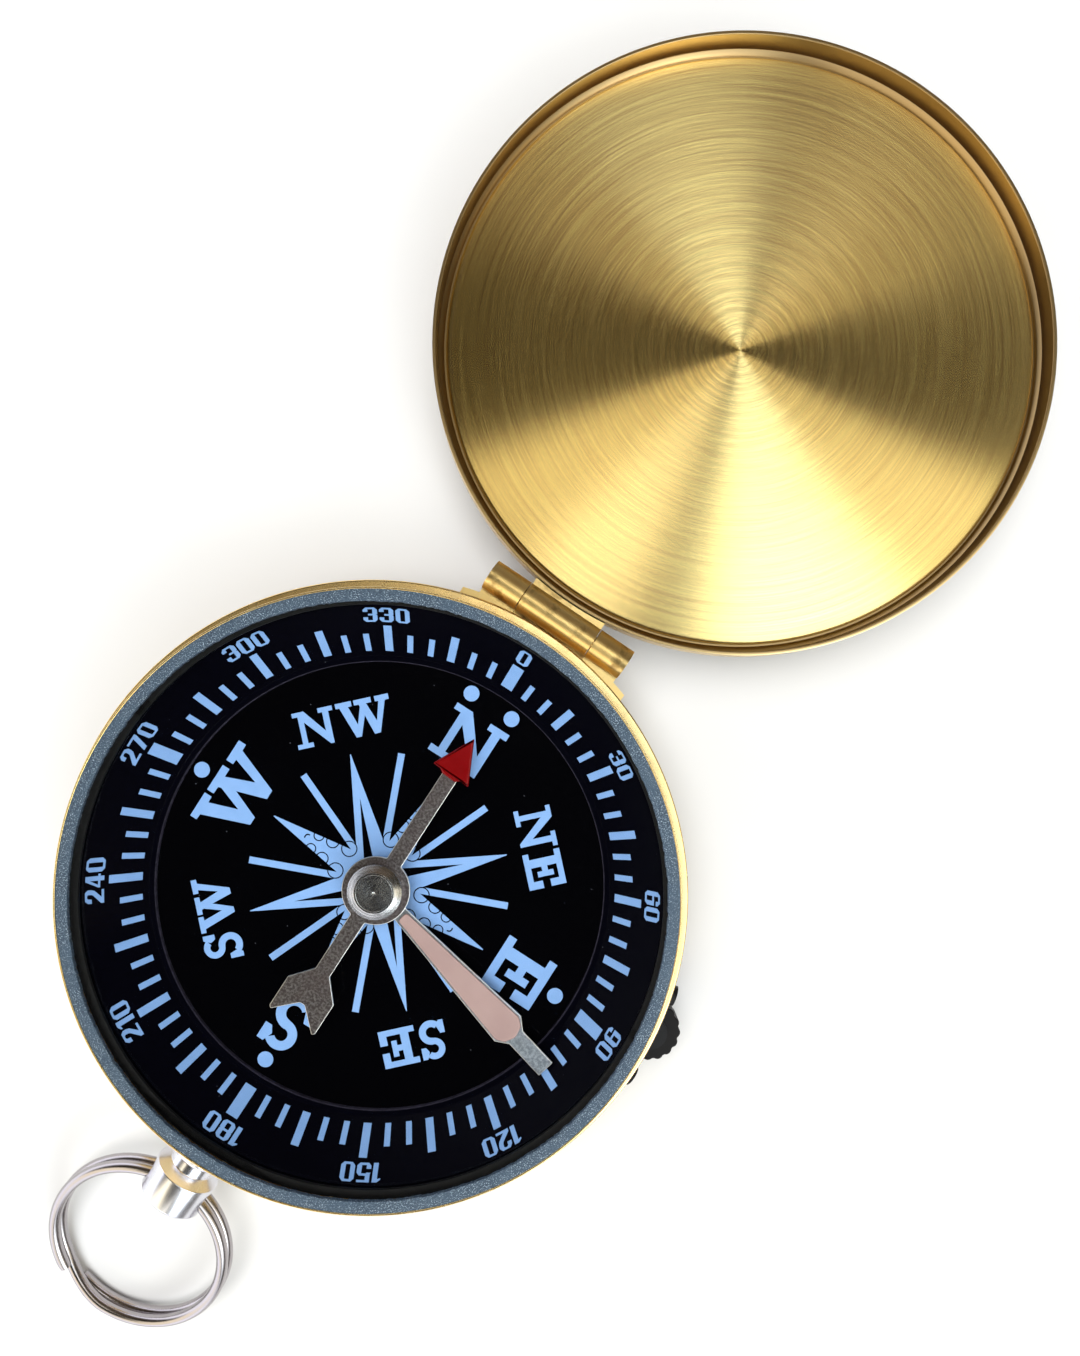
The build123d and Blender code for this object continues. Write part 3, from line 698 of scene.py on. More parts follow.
# ------------------------------------------------------------------ dial
DIAL_LOW, DIAL_Z = 3.4, 3.8
DIAL_R, DIAL_HOLE = 17.45, 1.2
dial_profile = [(DIAL_HOLE, DIAL_LOW), (DIAL_R, DIAL_LOW), (DIAL_R, DIAL_Z), (DIAL_HOLE, DIAL_Z)]
piece("dial_face", *lathe(dial_profile, 192), "case", "dial_black", DIAL_BLACK, "dial_disc")

# the slope's two ends, as (radius, z)
FUNNEL_FOOT, FUNNEL_HEAD = Vector((17.35, 4.2)), Vector((20.95, 7.6))
FUNNEL_SLOPE = (FUNNEL_HEAD - FUNNEL_FOOT).normalized()
funnel_profile = soften(
    [(LIP_R, DIAL_Z), (LIP_R, 4.2), (17.35, 4.2), (20.95, 7.6), (20.95, 7.9), (21.6, 7.9), (21.6, SEAT_Z),
     (21.15, SEAT_Z), (21.15, 6.85), (18.3, 3.9), (18.2, 3.3), (DIAL_R, 3.3), (DIAL_R, DIAL_Z)],
    [0, 0.12, 0.1, 0, 0, 0, 0, 0, 0, 0, 0, 0, 0], 5,
)
piece("scale_funnel", *lathe(funnel_profile, 256), "case", "black_plastic", SCALE_BLACK, "scale_ring")

PRINT_TURN = -1.35       # the print isn't quite square with the hinge
PRINT_SHIFT = (-0.2, 0.05)
INK_T = 0.012


def turned(points, degrees, out=0.0):
    """Points of a mark drawn with +Y outward, put at a bearing and a distance out."""
    a = math.radians(degrees)
    c, s = math.cos(a), math.sin(a)
    return [(x * c + (y + out) * s, -x * s + (y + out) * c) for x, y in points]


def moved(points, right, up):
    return [(x + right, y + up) for x, y in points]


def disc_print(name, adds, cuts=()):
    """Ink on the flat of the dial."""
    verts, faces = flat_fill(adds, cuts)
    place = Matrix.Translation((*PRINT_SHIFT, 0)) @ bearing_matrix(PRINT_TURN, DIAL_Z + INK_T)
    piece(name, [(x, y, 0) for x, y in verts], faces, "case", "dial_black", INK, place=place)


# slab serif letters, drawn about their own centres
LETTER = {
    "N": [[(-2.3, 2.1), (-0.92, 2.1), (1.16, -0.57), (1.16, 1.56), (0.69, 1.56), (0.69, 2.1), (2.38, 2.1),
           (2.38, 1.56), (1.86, 1.56), (1.86, -2.1), (1.46, -2.1), (-1.08, 0.85), (-1.08, -1.55),
           (-0.5, -1.55), (-0.5, -2.08), (-2.33, -2.08), (-2.33, -1.55), (-1.69, -1.55), (-1.69, 1.58),
           (-2.3, 1.58)]],
    "W": [[(-3.39, 2.12), (-1.33, 2.12), (-1.33, 1.52), (-1.82, 1.48), (-1.05, -0.7), (-0.36, 1.26),
           (-0.45, 1.5), (-1.04, 1.52), (-1.04, 2.1), (1.16, 2.1), (1.16, 1.5), (0.49, 1.48), (1.37, -0.7),
           (2.04, 1.45), (1.62, 1.48), (1.62, 2.08), (3.39, 2.08), (3.39, 1.45), (2.86, 1.42), (1.54, -2.1),
           (0.78, -2.12), (0.03, 0.18), (-0.89, -2.1), (-1.54, -2.1), (-2.91, 1.52), (-3.39, 1.55)]],
    "E": [[(x * 1.5, y * 1.5) for x, y in (
        (-1.36, 1.43), (1.36, 1.43), (1.36, 0.28), (0.8, 0.28), (0.8, 0.98), (-0.25, 0.98), (-0.25, 0.27),
        (0.1, 0.27), (0.1, 0.66), (0.52, 0.66), (0.52, -0.57), (0.1, -0.57), (0.1, -0.18), (-0.25, -0.18),
        (-0.25, -0.98), (0.8, -0.98), (0.8, -0.3), (1.38, -0.3), (1.38, -1.43), (-1.36, -1.43),
        (-1.36, -0.98), (-0.89, -0.98), (-0.89, 0.98), (-1.36, 0.98))]],
    "S": [
        annulus_arc(0.0, 1.0, 0.86, 0.72, 40, 270),
        annulus_arc(0.0, -0.86, 1.0, 0.78, -140, 90),
        [(0.95, 2.1), (1.5, 2.1), (1.5, 0.75), (0.95, 0.75), (0.62, 1.3)],
        [(-1.55, -2.1), (-1.0, -2.1), (-0.7, -1.4), (-1.0, -0.6), (-1.55, -0.6)],
    ],
}


LETTER_GAP = 0.24
LETTER_AT, PAIR_AT = 12.65, 12.5        # how far out single letters and pairs stand
PAIR_SCALE, PAIR_W_NARROW = 0.667, 0.91


def lettering(word, bearing, out, scale=1.0):
    """The outlines of a word, its middle at a bearing and a distance out."""
    reach = {k: [x for poly in LETTER[k] for x, _ in poly] for k in word}
    squeeze = {k: scale * (PAIR_W_NARROW if k == "W" and len(word) > 1 else 1) for k in word}
    widths = {k: (max(reach[k]) - min(reach[k])) * squeeze[k] for k in word}
    at = -(sum(widths[k] for k in word) + LETTER_GAP * (len(word) - 1)) / 2
    outlines = []
    for k in word:
        low = min(reach[k])
        for poly in LETTER[k]:
            flat = [((x - low) * squeeze[k] + at, y * scale) for x, y in poly]
            outlines.append(turned(flat, bearing, out))
        at += widths[k] + LETTER_GAP
    return outlines


marks = []
for word, bearing in (("N", 0), ("E", 90), ("S", 180), ("W", 270)):
    marks += lettering(word, bearing, LETTER_AT)
for word, bearing in (("NE", 45), ("SE", 135), ("SW", 225), ("NW", 315)):
    marks += lettering(word, bearing, PAIR_AT, PAIR_SCALE)
DOT_AT, DOT_R, DOT_SPREAD = 15.88, 0.6, 1.8
for x, bearing in ((-DOT_SPREAD, 0), (DOT_SPREAD, 0), (0, 90), (0, 180), (0, 270)):
    marks.append(turned(circle(x, 0, DOT_R, 40), bearing, DOT_AT))

# star: four solid arms with rings drawn on them, four split arms and eight bars
ARM_TIP, ARM_HALF = 9.4, 1.49
SPLIT_TIP, SPLIT_HALF = 9.95, 1.5
BAR_END, BAR_W = 9.95, 0.52
BAR_START, HEART_R, SLEEVE_HOLE = 1.6, 2.5, 1.3     # the bars' inner end, the star's middle and its hole
SPLIT_BORDER = 0.49
star, holes = [], []
for bearing in (0, 90, 180, 270):
    star.append(turned([(-ARM_HALF, 0), (ARM_HALF, 0), (0.04, ARM_TIP), (-0.04, ARM_TIP)], bearing))
for bearing in (45, 135, 225, 315):
    star.append(turned([(-SPLIT_HALF, 0), (SPLIT_HALF, 0), (0.03, SPLIT_TIP), (-0.03, SPLIT_TIP)], bearing))
    side = Vector((SPLIT_HALF, SPLIT_TIP)).normalized()
    open_half = (SPLIT_HALF - SPLIT_BORDER / side.y) * 0.8
    holes.append(turned([(0, 1.2), (0, 6.55), (-open_half, 1.2)], bearing))
for k in range(8):
    star.append(turned(
        [(-BAR_W / 2, BAR_START), (BAR_W / 2, BAR_START), (BAR_W / 2, BAR_END), (-BAR_W / 2, BAR_END)],
        22.5 + 45 * k,
    ))
star.append(circle(0, 0, HEART_R, 48))
LINE = 0.085
ARM_RINGS = ((5.72, 0.38), (4.6, 0.47), (3.25, 0.58))     # how far out, and the radius
for bearing in (0, 90, 180, 270):
    for along, r in ARM_RINGS:
        edge = ARM_HALF * (1 - along / ARM_TIP)
        for flip in (-1, 1):
            holes.append(turned(annulus_arc(flip * edge, along, r, LINE, 0, 358), bearing))
    holes.append(turned(annulus_arc(0.0, 6.35, 0.24, LINE * 1.2, -10, 125, 12), bearing))
disc_print("dial_letters", marks)
holes.append(circle(0, 0, SLEEVE_HOLE, 48))
disc_print("dial_star", star, holes)

# degree marks on the slope
W, H = 1.03, 1.35                # a digit's width and height
STEM_W, BAR_H = 0.34, 0.16


def box(x0, y0, x1, y1, chamfer=0.0):
    """A rectangle, its corners cut off by chamfer."""
    if not chamfer:
        return [(x0, y0), (x1, y0), (x1, y1), (x0, y1)]
    c = chamfer
    return [(x0 + c, y0), (x1 - c, y0), (x1, y0 + c), (x1, y1 - c), (x1 - c, y1), (x0 + c, y1),
            (x0, y1 - c), (x0, y0 + c)]




def counter(low, high, chamfer=0.0):
    """The opening between a digit's two stems."""
    return box(STEM_W, low, W - STEM_W, high, chamfer)


# for each digit: what it adds, what it cuts away, and its width
DIGIT = {
    "0": ([box(0, 0, W, H, 0.22)], [counter(BAR_H, H - BAR_H, 0.04)], W),
    "1": ([[(0, 1.06), (0, 1.17), (0.24, 1.35), (0.6, 1.35), (0.6, 0), (0.24, 0), (0.24, 1.12)]], [], 0.6),
    "2": ([[(0, 0), (1.0, 0), (1.0, 0.17), (0.44, 0.17), (0.93, 0.68), (1.0, 0.92), (1.0, 1.15), (0.82, 1.35),
            (0.2, 1.35), (0.02, 1.15), (0.0, 0.88), (0.32, 0.88), (0.34, 1.12), (0.42, 1.2), (0.58, 1.2),
            (0.66, 1.12), (0.65, 0.9), (0.6, 0.78), (0.0, 0.22)]], [], 1.0),
    "3": ([box(0, 0, W, H, 0.2)],
          [counter(BAR_H, 0.60), counter(0.76, H - BAR_H),
           box(-0.1, 0.44, 0.36, 0.95), [(W + 0.1, 0.58), (W + 0.1, 0.78), (W - 0.09, 0.68)]], W),
    "4": ([[(0, 0.42), (0.46, 1.35), (0.84, 1.35), (0.84, 0.44), (1.0, 0.44), (1.0, 0.28), (0.84, 0.28),
            (0.84, 0), (0.5, 0), (0.5, 0.28), (0, 0.28)]], [[(0.2, 0.44), (0.5, 0.44), (0.5, 1.02)]], 1.0),
    "5": ([box(0.05, 0.72, 0.38, H), box(0.05, H - BAR_H, 0.97, H), box(0, 0, W, 0.9, 0.2)],
          [counter(BAR_H, 0.74), box(-0.1, 0.42, STEM_W + 0.02, 0.68)], W),
    "6": ([box(0, 0, W, H, 0.22)],
          [counter(BAR_H, 0.66), counter(0.82, H - BAR_H),
           box(W - STEM_W - 0.02, 0.82, W + 0.1, 0.98)], W),
    "7": ([[(0, 1.35), (1.0, 1.35), (1.0, 1.18), (0.54, 0), (0.18, 0), (0.64, 1.18), (0, 1.18)]], [], 1.0),
    "8": ([box(0, 0, W, H, 0.2)],
          [counter(BAR_H, 0.60, 0.04), counter(0.76, H - BAR_H, 0.04),
           [(W + 0.1, 0.58), (W + 0.1, 0.78), (W - 0.08, 0.68)],
           [(-0.1, 0.58), (-0.1, 0.78), (0.08, 0.68)]], W),
    "9": ([box(0, 0, W, H, 0.22)],
          [counter(BAR_H, 0.53), counter(0.69, H - BAR_H),
           box(-0.1, 0.37, STEM_W + 0.02, 0.53)], W),
}
DIGIT_GAP = 0.15


def cone_point(x, s, bearing):
    """A point on the slope: x along it at a bearing, s up it."""
    r = FUNNEL_FOOT.x + s * FUNNEL_SLOPE.x
    z = FUNNEL_FOOT.y + s * FUNNEL_SLOPE.y
    normal = Vector((-FUNNEL_SLOPE.y, FUNNEL_SLOPE.x)) * INK_T
    r, z = r + normal.x, z + normal.y
    a = math.radians(bearing + PRINT_TURN) + x / r
    return r * math.sin(a), r * math.cos(a), z


def slope_print(name, groups):
    """Ink on the slope, from (adds, cuts, bearing) for each mark."""
    verts, faces = [], []
    for adds, cuts, bearing in groups:
        points, tris = flat_fill(adds, cuts)
        start = len(verts)
        verts += [cone_point(x, y, bearing) for x, y in points]
        faces += [tuple(start + i for i in t) for t in tris]
    piece(name, verts, faces, "case", "black_plastic", INK, sharp=60)


TICK_FOOT = 0.52
LONG, SHORT = 2.5, 1.7
WIDE, MIDDLE, THIN = 0.95, 0.6, 0.44
ticks = []
for degree in range(0, 360, 5):
    width = WIDE if degree % 90 == 0 else MIDDLE if degree % 15 == 0 else THIN
    length = LONG if degree % 15 == 0 else SHORT
    ticks.append(([box(-width / 2, TICK_FOOT, width / 2, TICK_FOOT + length)], [], degree))
slope_print("degree_ticks", ticks)

NUMBER_FOOT = 3.36
numbers = []
for degree in range(0, 360, 30):
    text = str(degree)
    total = sum(DIGIT[c][2] for c in text) + DIGIT_GAP * (len(text) - 1)
    at = -total / 2
    for c in text:
        adds, cuts, wide = DIGIT[c]
        adds, cuts = ([moved(poly, at, NUMBER_FOOT) for poly in group] for group in (adds, cuts))
        numbers.append((adds, cuts, degree))
        at += wide + DIGIT_GAP
slope_print("degree_numbers", numbers)

# ------------------------------------------------------------------ course pointer
COURSE_BEARING = 102.8
POINTER_LOW, POINTER_HIGH = 5.3, 5.5
POINTER_HUB_R = 2.2
half_pointer = [(0.55, 2.13), (1.35, 14.2), (0.69, 15.1), (0.69, 18.3)]
hub_arc = [(POINTER_HUB_R * math.sin(a), -POINTER_HUB_R * math.cos(a)) for a in
           [math.radians(d) for d in range(0, 166, 5)]]
right = hub_arc + half_pointer
outline = right + [(-x, y) for x, y in reversed(right) if x > 1e-6]
pointer_place = bearing_matrix(COURSE_BEARING)
pointer_solid = slab(outline, POINTER_LOW, POINTER_HIGH, edge=0.05, steps=2, foot=0.03)
pointer = piece("pointer_blade", *pointer_solid, "course", "pointer_steel", POINTER_STEEL, "course_pointer",
                place=pointer_place)
edge_material(pointer, CUT_EDGE)
bore(pointer, 1.0, 5.0, 6.0)
filling = soften(
    [(-0.44, 2.75), (0.44, 2.75), (1.22, 14.1), (0.85, 14.75), (0, 15.05), (-0.85, 14.75), (-1.22, 14.1)],
    [0.3, 0.3, 0.3, 0.4, 0.6, 0.4, 0.3], 4,
)
piece("pointer_filling", *slab(filling, POINTER_HIGH - 0.02, POINTER_HIGH + 0.09, edge=0.1, steps=4),
      "course", "pointer_steel", LUME, sharp=50, place=pointer_place)

# ------------------------------------------------------------------ needle
NEEDLE_BEARING = -1.0
NEEDLE_LOW, NEEDLE_HIGH = 5.75, 5.97
EYE_R, BLADE = 2.53, 0.62       # the eye's outside, and half the blade's width
join_angle = math.degrees(math.asin(BLADE / EYE_R))
EYE_STEPS = 28
eye = [(EYE_R * math.sin(a), -EYE_R * math.cos(a)) for a in
       [math.radians(join_angle + k * (180 - 2 * join_angle) / EYE_STEPS) for k in range(EYE_STEPS + 1)]]
tail = [(0.2, -9.95), (1.8, -11.5), (2.0, -11.3), (2.0, -8.8), (BLADE, -7.2)]
head = [(BLADE, 10.7), (1.53, 10.2)]
right = tail + eye + head
outline = right + [(0, 13.2)] + [(-x, y) for x, y in reversed(right)]
radii = [0.3, 0.12, 0.1, 0.12, 0.14] + [0.45] + [0] * (EYE_STEPS - 1) + [0.45] + [0.05, 0.1]
outline = soften(outline, radii + [0.08] + radii[::-1], 4)
needle_place = bearing_matrix(NEEDLE_BEARING)
needle_solid = slab(outline, NEEDLE_LOW, NEEDLE_HIGH, edge=0.05, steps=2, foot=0.03)
needle = piece("needle_blade", *needle_solid, "needle", "needle_steel", NEEDLE_STEEL, "needle",
               place=needle_place)
edge_material(needle, CUT_EDGE)
bore(needle, 1.1, 5.0, 6.5, 64)
enamel_outline = soften(
    [(-1.6, 10.2), (-0.95, 10.16), (-0.6, 9.92), (0.5, 9.86), (0.85, 10.16), (1.6, 10.06), (0, 13.36)],
    [0.12, 0.2, 0.2, 0.25, 0.2, 0.12, 0.08], 5,
)
enamel_solid = slab(enamel_outline, NEEDLE_LOW + 0.05, NEEDLE_HIGH + 0.16, edge=0.16, steps=5, foot=0.05)
piece("needle_enamel", *enamel_solid, "needle", "needle_steel", RED, sharp=60, place=needle_place)
cap_profile = soften(
    [(0.8, 5.6), (1.35, 5.6), (1.35, 5.75), (1.1, 5.75), (1.1, 5.97), (2.02, 5.97), (2.02, 6.63),
     (1.47, 6.95), (1.36, 6.95), (1.33, 6.92), (1.30, 6.95), (0.12, 6.95), (0, 6.85), (0, 6.6), (0.8, 6.6)],
    [0, 0, 0, 0, 0, 0.04, 0.04, 0.03, 0, 0, 0, 0.03, 0, 0, 0], 4,
)
piece("needle_cap_turned", *lathe(cap_profile, 128), "needle", "nickel", CAP_NICKEL, "needle_cap", sharp=24)

# ------------------------------------------------------------------ thumbwheel
WHEEL_R = 23.1
wheel_x = WHEEL_R * math.sin(math.radians(WHEEL_BEARING))
wheel_y = WHEEL_R * math.cos(math.radians(WHEEL_BEARING))
LOBES, LOBE_R, LOBE_AT = 16, 0.44, 1.83
LOBE_STEP = 17          # degrees between a lobe's points
LOBE_SHARE = 0.97       # how much of the way to the next lobe its points may reach
wheel_outline = []
lobe_start = 90 - WHEEL_BEARING + 180
for k in range(LOBES):
    middle = math.radians(lobe_start + 360 / LOBES * k)
    for step in range(-5, 6):
        swing = middle + math.radians(step * LOBE_STEP)
        x = LOBE_AT * math.cos(middle) + LOBE_R * math.cos(swing)
        y = LOBE_AT * math.sin(middle) + LOBE_R * math.sin(swing)
        from_middle = (math.atan2(y, x) - middle + math.pi) % TAU - math.pi
        if abs(from_middle) < LOBE_SHARE * math.pi / LOBES:
            wheel_outline.append((x, y))
WHEEL_LOW, WHEEL_HIGH, WHEEL_BORE = 1.75, 4.35, 0.38
wheel_place = Matrix.Translation((wheel_x, wheel_y, 0))
wheel_solid = slab(wheel_outline, WHEEL_LOW, WHEEL_HIGH, edge=0.12, steps=3, foot=0.12)
wheel = piece("thumbwheel_lobed", *wheel_solid, "thumbwheel", "black_plastic", WHEEL_BLACK, "thumbwheel",
              place=wheel_place)
bore(wheel, WHEEL_BORE, 1.0, 5.0, place=wheel_place)

# ------------------------------------------------------------------ lid
lid_place = Matrix.Translation(LID_CENTRE)
LID_R, LID_CORNER, LID_TOP = 22.49, 0.9, 7.97
LID_BACK, LID_T, FLAT_R = 5.0, 0.4, 14.0         # the back's height and thickness, and how far out it is flat
PLATE_R, PLATE_LOW, PLATE_TOP = 21.6, 5.9, 6.27
EDGE_STEPS = [math.radians(d) for d in range(15, 91, 15)]
dome = [(FLAT_R + (PLATE_R - FLAT_R) * t, LID_BACK + 0.35 * t**2) for t in (0, 0.2, 0.4, 0.6, 0.8, 1.0)]
corner = [(LID_R - LID_CORNER + LID_CORNER * math.sin(a), 6.25 - LID_CORNER * math.cos(a))
          for a in EDGE_STEPS]
inside = soften(
    [(LID_R, LID_TOP), (22.15, LID_TOP), (22.15, 6.25), (21.75, 5.88), (20.9, 5.88),
     (FLAT_R, LID_BACK + LID_T)],
    [0.1, 0.08, 0.1, 0.05, 0, 0], 4,
)
shell_profile = [(0, LID_BACK)] + dome + corner + inside + [(0, LID_BACK + LID_T)]
piece("lid_shell_turned", *lathe(shell_profile, 256), "lid", "brass", SHELL_BRASS, "lid_shell",
      place=lid_place)
PLATE_EDGE = 0.25
rim_r, rim_z = PLATE_R - PLATE_EDGE, PLATE_TOP - PLATE_EDGE
plate_profile = [(0, PLATE_LOW), (PLATE_R, PLATE_LOW), (PLATE_R, rim_z)]
plate_profile += [(rim_r + PLATE_EDGE * math.cos(a), rim_z + PLATE_EDGE * math.sin(a)) for a in EDGE_STEPS]
plate_profile += [(r, PLATE_TOP) for r in (16, 8, 3, 0)]
piece("lid_plate_spun", *lathe(plate_profile, 256), "lid", "lid_plate_brass", PLATE_BRASS, "lid_plate",
      place=lid_place)

# ------------------------------------------------------------------ stem
STEM_Z = 4.4
stem_place = Matrix.Translation((0, 0, STEM_Z)) @ Matrix.Rotation(math.radians(90), 4, "X")
# local +Z is now -Y, so the profiles are (radius, distance from the case's axis)
boss_profile = soften([(0.9, 22.3), (2.1, 22.3), (2.1, 24.3), (0.9, 24.3)], [0, 0, 0.3, 0], 4)
piece("stem_collar", *lathe(boss_profile, 128), "case", "nickel", NICKEL, "stem_boss", place=stem_place)
post_profile = soften(
    [(0, 20.65), (1.1, 20.65), (1.1, 20.85), (0.9, 20.85), (0.9, 24.3), (1.65, 24.3), (1.65, 25.15),
     (2.5, 25.6), (2.5, 27.85), (2.3, 28.05), (0, 28.05)],
    [0, 0, 0, 0, 0, 0.08, 0.1, 0.12, 0.15, 0.12, 0], 4,
)
post = piece("stem_head", *lathe(post_profile, 128), "case", "nickel", NICKEL, "stem_post", place=stem_place)
HOLE_Y, HOLE_R = -26.8, 1.0
hole_place = Matrix.Translation((0, HOLE_Y, STEM_Z)) @ Matrix.Rotation(math.radians(90), 4, "Y")
flare = [(0, -4), (1.15, -4), (1.15, -2.5), (HOLE_R, -2.1), (HOLE_R, 2.1), (1.15, 2.5), (1.15, 4), (0, 4)]
cut(post, *lathe(flare, 64), hole_place)

# ------------------------------------------------------------------ split ring
RING_R, WIRE_R, RING_DROP, LAYER, RING_PULL = 6.82, 0.44, 14.8, 0.42, 0.33
HEAD_R = 2.5            # the stem's head, which the ring bends round
bow = RING_R - math.sqrt(RING_R**2 - HEAD_R**2)
reach = RING_R - bow + RING_PULL
drop = math.radians(RING_DROP)
ring_place = Matrix.Translation((0, HOLE_Y - reach * math.cos(drop), STEM_Z - reach * math.sin(drop)))
ring_place = ring_place @ Matrix.Rotation(drop, 4, "X")
TURNS, FIRST_END = 1.965, math.radians(250)
CROSS_AT, CROSS_LENGTH = 0.93, 0.14      # in turns: where the wire passes from the lower layer to the upper
STEPS, SIDES = 260, 20
path = []
for k in range(STEPS + 1):
    turn = TURNS * k / STEPS
    blend = min(max((turn - CROSS_AT) / CROSS_LENGTH, 0), 1)
    blend = blend * blend * (3 - 2 * blend)
    height = -LAYER + 2 * LAYER * blend
    angle = TAU * turn + FIRST_END
    path.append(Vector((RING_R * math.cos(angle), RING_R * math.sin(angle), height)))
verts, faces = [], []
for k, p in enumerate(path):
    ahead = (path[min(k + 1, STEPS)] - path[max(k - 1, 0)]).normalized()
    across = ahead.cross(Vector((0, 0, 1))).normalized()
    up = across.cross(ahead)
    to_end = min(k, STEPS - k)
    shrink = 1.0 if to_end > 1 else (0.86, 0.97)[to_end]
    for s in range(SIDES):
        a = TAU * s / SIDES
        verts.append(p + (across * math.cos(a) + up * math.sin(a)) * WIRE_R * shrink)
for k in range(STEPS):
    for s in range(SIDES):
        t = (s + 1) % SIDES
        faces.append((k * SIDES + s, k * SIDES + t, (k + 1) * SIDES + t, (k + 1) * SIDES + s))
faces.append(tuple(range(SIDES)))
faces.append(tuple(range(STEPS * SIDES, (STEPS + 1) * SIDES)))
piece("ring_coil", verts, faces, "ring", "ring_steel", RING_STEEL, "split_ring", sharp=45,
      place=ring_place)

# ------------------------------------------------------------------ floor and light
FLOOR_HALF = 3             # metres
FLOOR_GAP = 0.00002        # metres under the case, so that the two faces don't lie in one plane
corners = [(-FLOOR_HALF, -FLOOR_HALF, 0), (FLOOR_HALF, -FLOOR_HALF, 0),
           (FLOOR_HALF, FLOOR_HALF, 0), (-FLOOR_HALF, FLOOR_HALF, 0)]
floor_mesh = bpy.data.meshes.new("floor")
floor_mesh.from_pydata(corners, [], [(0, 1, 2, 3)])
floor = bpy.data.objects.new("floor", floor_mesh)
scene.collection.objects.link(floor)
paper = Paint("floor_white")
grain = paper.noise(paper.coords(), 90, 2)
paper.set(color=paper.mix(grain, (0.50, 0.50, 0.50), (0.52, 0.52, 0.52)), roughness=0.9, specular=0.1)
floor_mesh.materials.append(paper.material)
floor.location.z = -FLOOR_GAP

# Directions in the sky are given as how far they lean right and up in the picture.
LID_MIRRORS = (0.165, 0.286)       # what the middle of the lid mirrors
DIAL_MIRRORS = (-0.16, -0.21)      # what the middle of the dial mirrors
FLAG_EDGE = (0.31, 0.37)           # where the dark flag over the dial ends, from DIAL_MIRRORS
WALL_TOP = (0.36, 0.52)            # where the walls give way to the ceiling, as the height of a direction
WALL_TURN = (0.40, 0.64)           # where the left wall turns into the right one, from 0 at the left to 1
SKY_STRENGTH = 3.2
BLACK, WHITE = (0.0, 0.0, 0.0), (1.0, 1.0, 1.0)
FLAG, BACKDROP = (0.003, 0.003, 0.004), (0.93, 0.93, 0.93)
LEFT_WALL, RIGHT_WALL = (0.62, 0.63, 0.68), (0.05, 0.045, 0.04)
BRIGHT, CREAM, YELLOW, GOLD = (0.90, 0.98, 1.02), (0.56, 0.53, 0.45), (0.64, 0.57, 0.42), (0.48, 0.44, 0.34)
GAP, DARK, WARM = (0.07, 0.065, 0.055), (0.016, 0.013, 0.009), (0.045, 0.032, 0.020)
# azimuth about LID_MIRRORS, clockwise from the top of the picture, and the colour there
SCREENS = [
    (-180, BRIGHT), (-175, BRIGHT), (-173, GAP), (-164, GAP), (-162, CREAM), (-148, CREAM),
    (-138, YELLOW), (-116, YELLOW), (-106, DARK), (-75, DARK), (-50, WARM), (50, WARM),
    (75, DARK), (112, DARK), (119, GOLD), (138, GOLD), (146, BRIGHT), (180, BRIGHT),
]


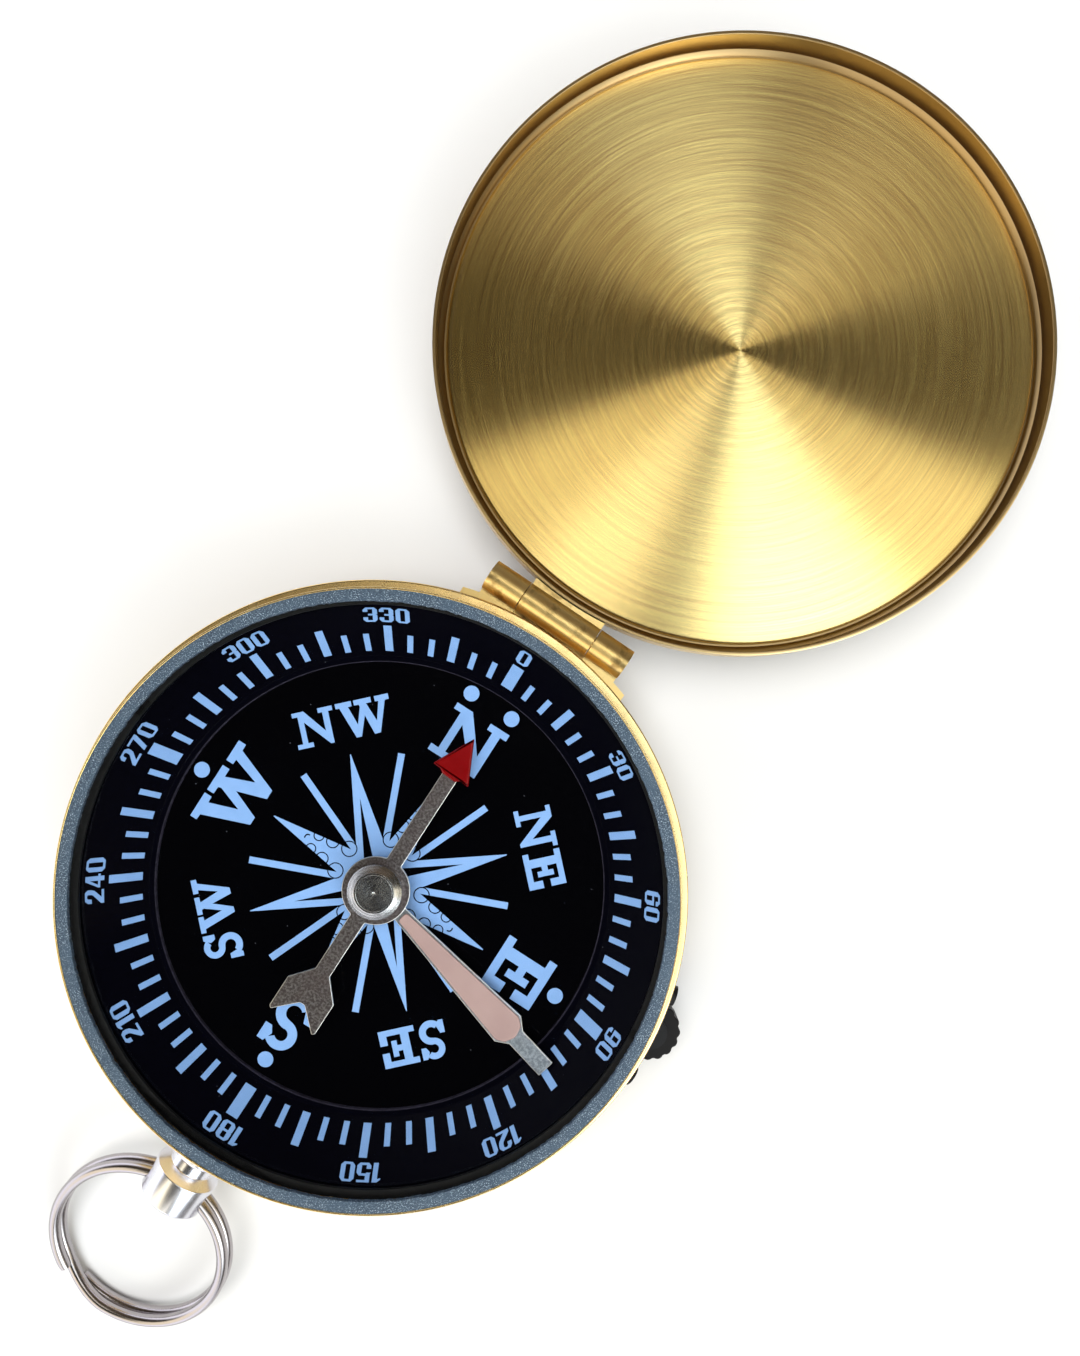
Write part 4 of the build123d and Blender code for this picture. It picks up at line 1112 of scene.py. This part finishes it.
def make_sky():
    """A ceiling of pale screens with gaps and dark flags between them, so that the turned lid shows bright
    and dark sectors. The patch of ceiling that the glass mirrors is dark. The backdrop itself is plain."""
    world = bpy.data.worlds.new("studio")
    scene.world = world
    world.use_nodes = True
    n = Nodes(world.node_tree)
    split = n.add("ShaderNodeSeparateXYZ")
    n.link(n.add("ShaderNodeTexCoord").outputs["Generated"], split.inputs[0])
    x, y, z = split.outputs

    def along(direction, start):
        lean = n.math("ADD", n.math("MULTIPLY", x, direction.x), n.math("MULTIPLY", y, direction.y))
        return n.math("SUBTRACT", lean, start)

    def fade(value, edge, before, after):
        return n.ramp(value, [(edge[0], before), (edge[1], after)])

    azimuth = n.math("ARCTAN2", along(IMAGE_RIGHT, LID_MIRRORS[0]), along(IMAGE_UP, LID_MIRRORS[1]))
    turn = n.math("ADD", n.math("DIVIDE", azimuth, TAU), 0.5)
    screens = n.ramp(turn, [((degrees + 180) / 360, colour) for degrees, colour in SCREENS])
    from_dial = n.length(along(IMAGE_RIGHT, DIAL_MIRRORS[0]), along(IMAGE_UP, DIAL_MIRRORS[1]))
    ceiling = n.mix(fade(from_dial, FLAG_EDGE, BLACK, WHITE), FLAG, screens)
    side = n.math("ADD", n.math("MULTIPLY", along(IMAGE_RIGHT, 0), 0.5), 0.5)
    walls = fade(side, WALL_TURN, LEFT_WALL, RIGHT_WALL)
    studio = n.tree.nodes["Background"]
    n.link(n.mix(fade(z, WALL_TOP, WHITE, BLACK), ceiling, walls), studio.inputs["Color"])
    studio.inputs["Strength"].default_value = SKY_STRENGTH
    backdrop = n.add("ShaderNodeBackground")
    backdrop.inputs["Color"].default_value = (*BACKDROP, 1)
    seen = n.add("ShaderNodeMixShader")
    n.link(n.add("ShaderNodeLightPath").outputs["Is Camera Ray"], seen.inputs[0])
    n.link(studio.outputs[0], seen.inputs[1])
    n.link(backdrop.outputs[0], seen.inputs[2])
    n.link(seen.outputs[0], n.tree.nodes["World Output"].inputs["Surface"])


make_sky()
LIGHTS_AIM = Vector((0.0, 0.02, 0.005))      # metres, near the object's middle


def softbox(name, right, up, height, width, power, colour, in_mirrors):
    """A square light aimed at the object, placed by the picture's own directions, in metres.
    in_mirrors says whether the shiny parts reflect it."""
    data = bpy.data.lights.new(name, "AREA")
    data.shape = "SQUARE"
    data.size = width
    data.energy = power
    data.color = colour
    light = bpy.data.objects.new(name, data)
    scene.collection.objects.link(light)
    light.location = LIGHTS_AIM + IMAGE_RIGHT * right + IMAGE_UP * up + Vector((0, 0, height))
    light.rotation_mode = "QUATERNION"
    light.rotation_quaternion = (light.location - LIGHTS_AIM).to_track_quat("Z", "Y")
    light.visible_glossy = in_mirrors


softbox("top_fill", -0.10, 0.10, 0.75, 0.5, 7.5, WHITE, False)
softbox("strip_overhead", 0.025, 0.06, 0.60, 0.07, 0.05, WHITE, True)
softbox("key_low_right", 0.30, -0.42, 0.50, 0.24, 1.0, (1.0, 0.99, 0.96), True)

for obj in made:
    keep_flats_flat(obj)
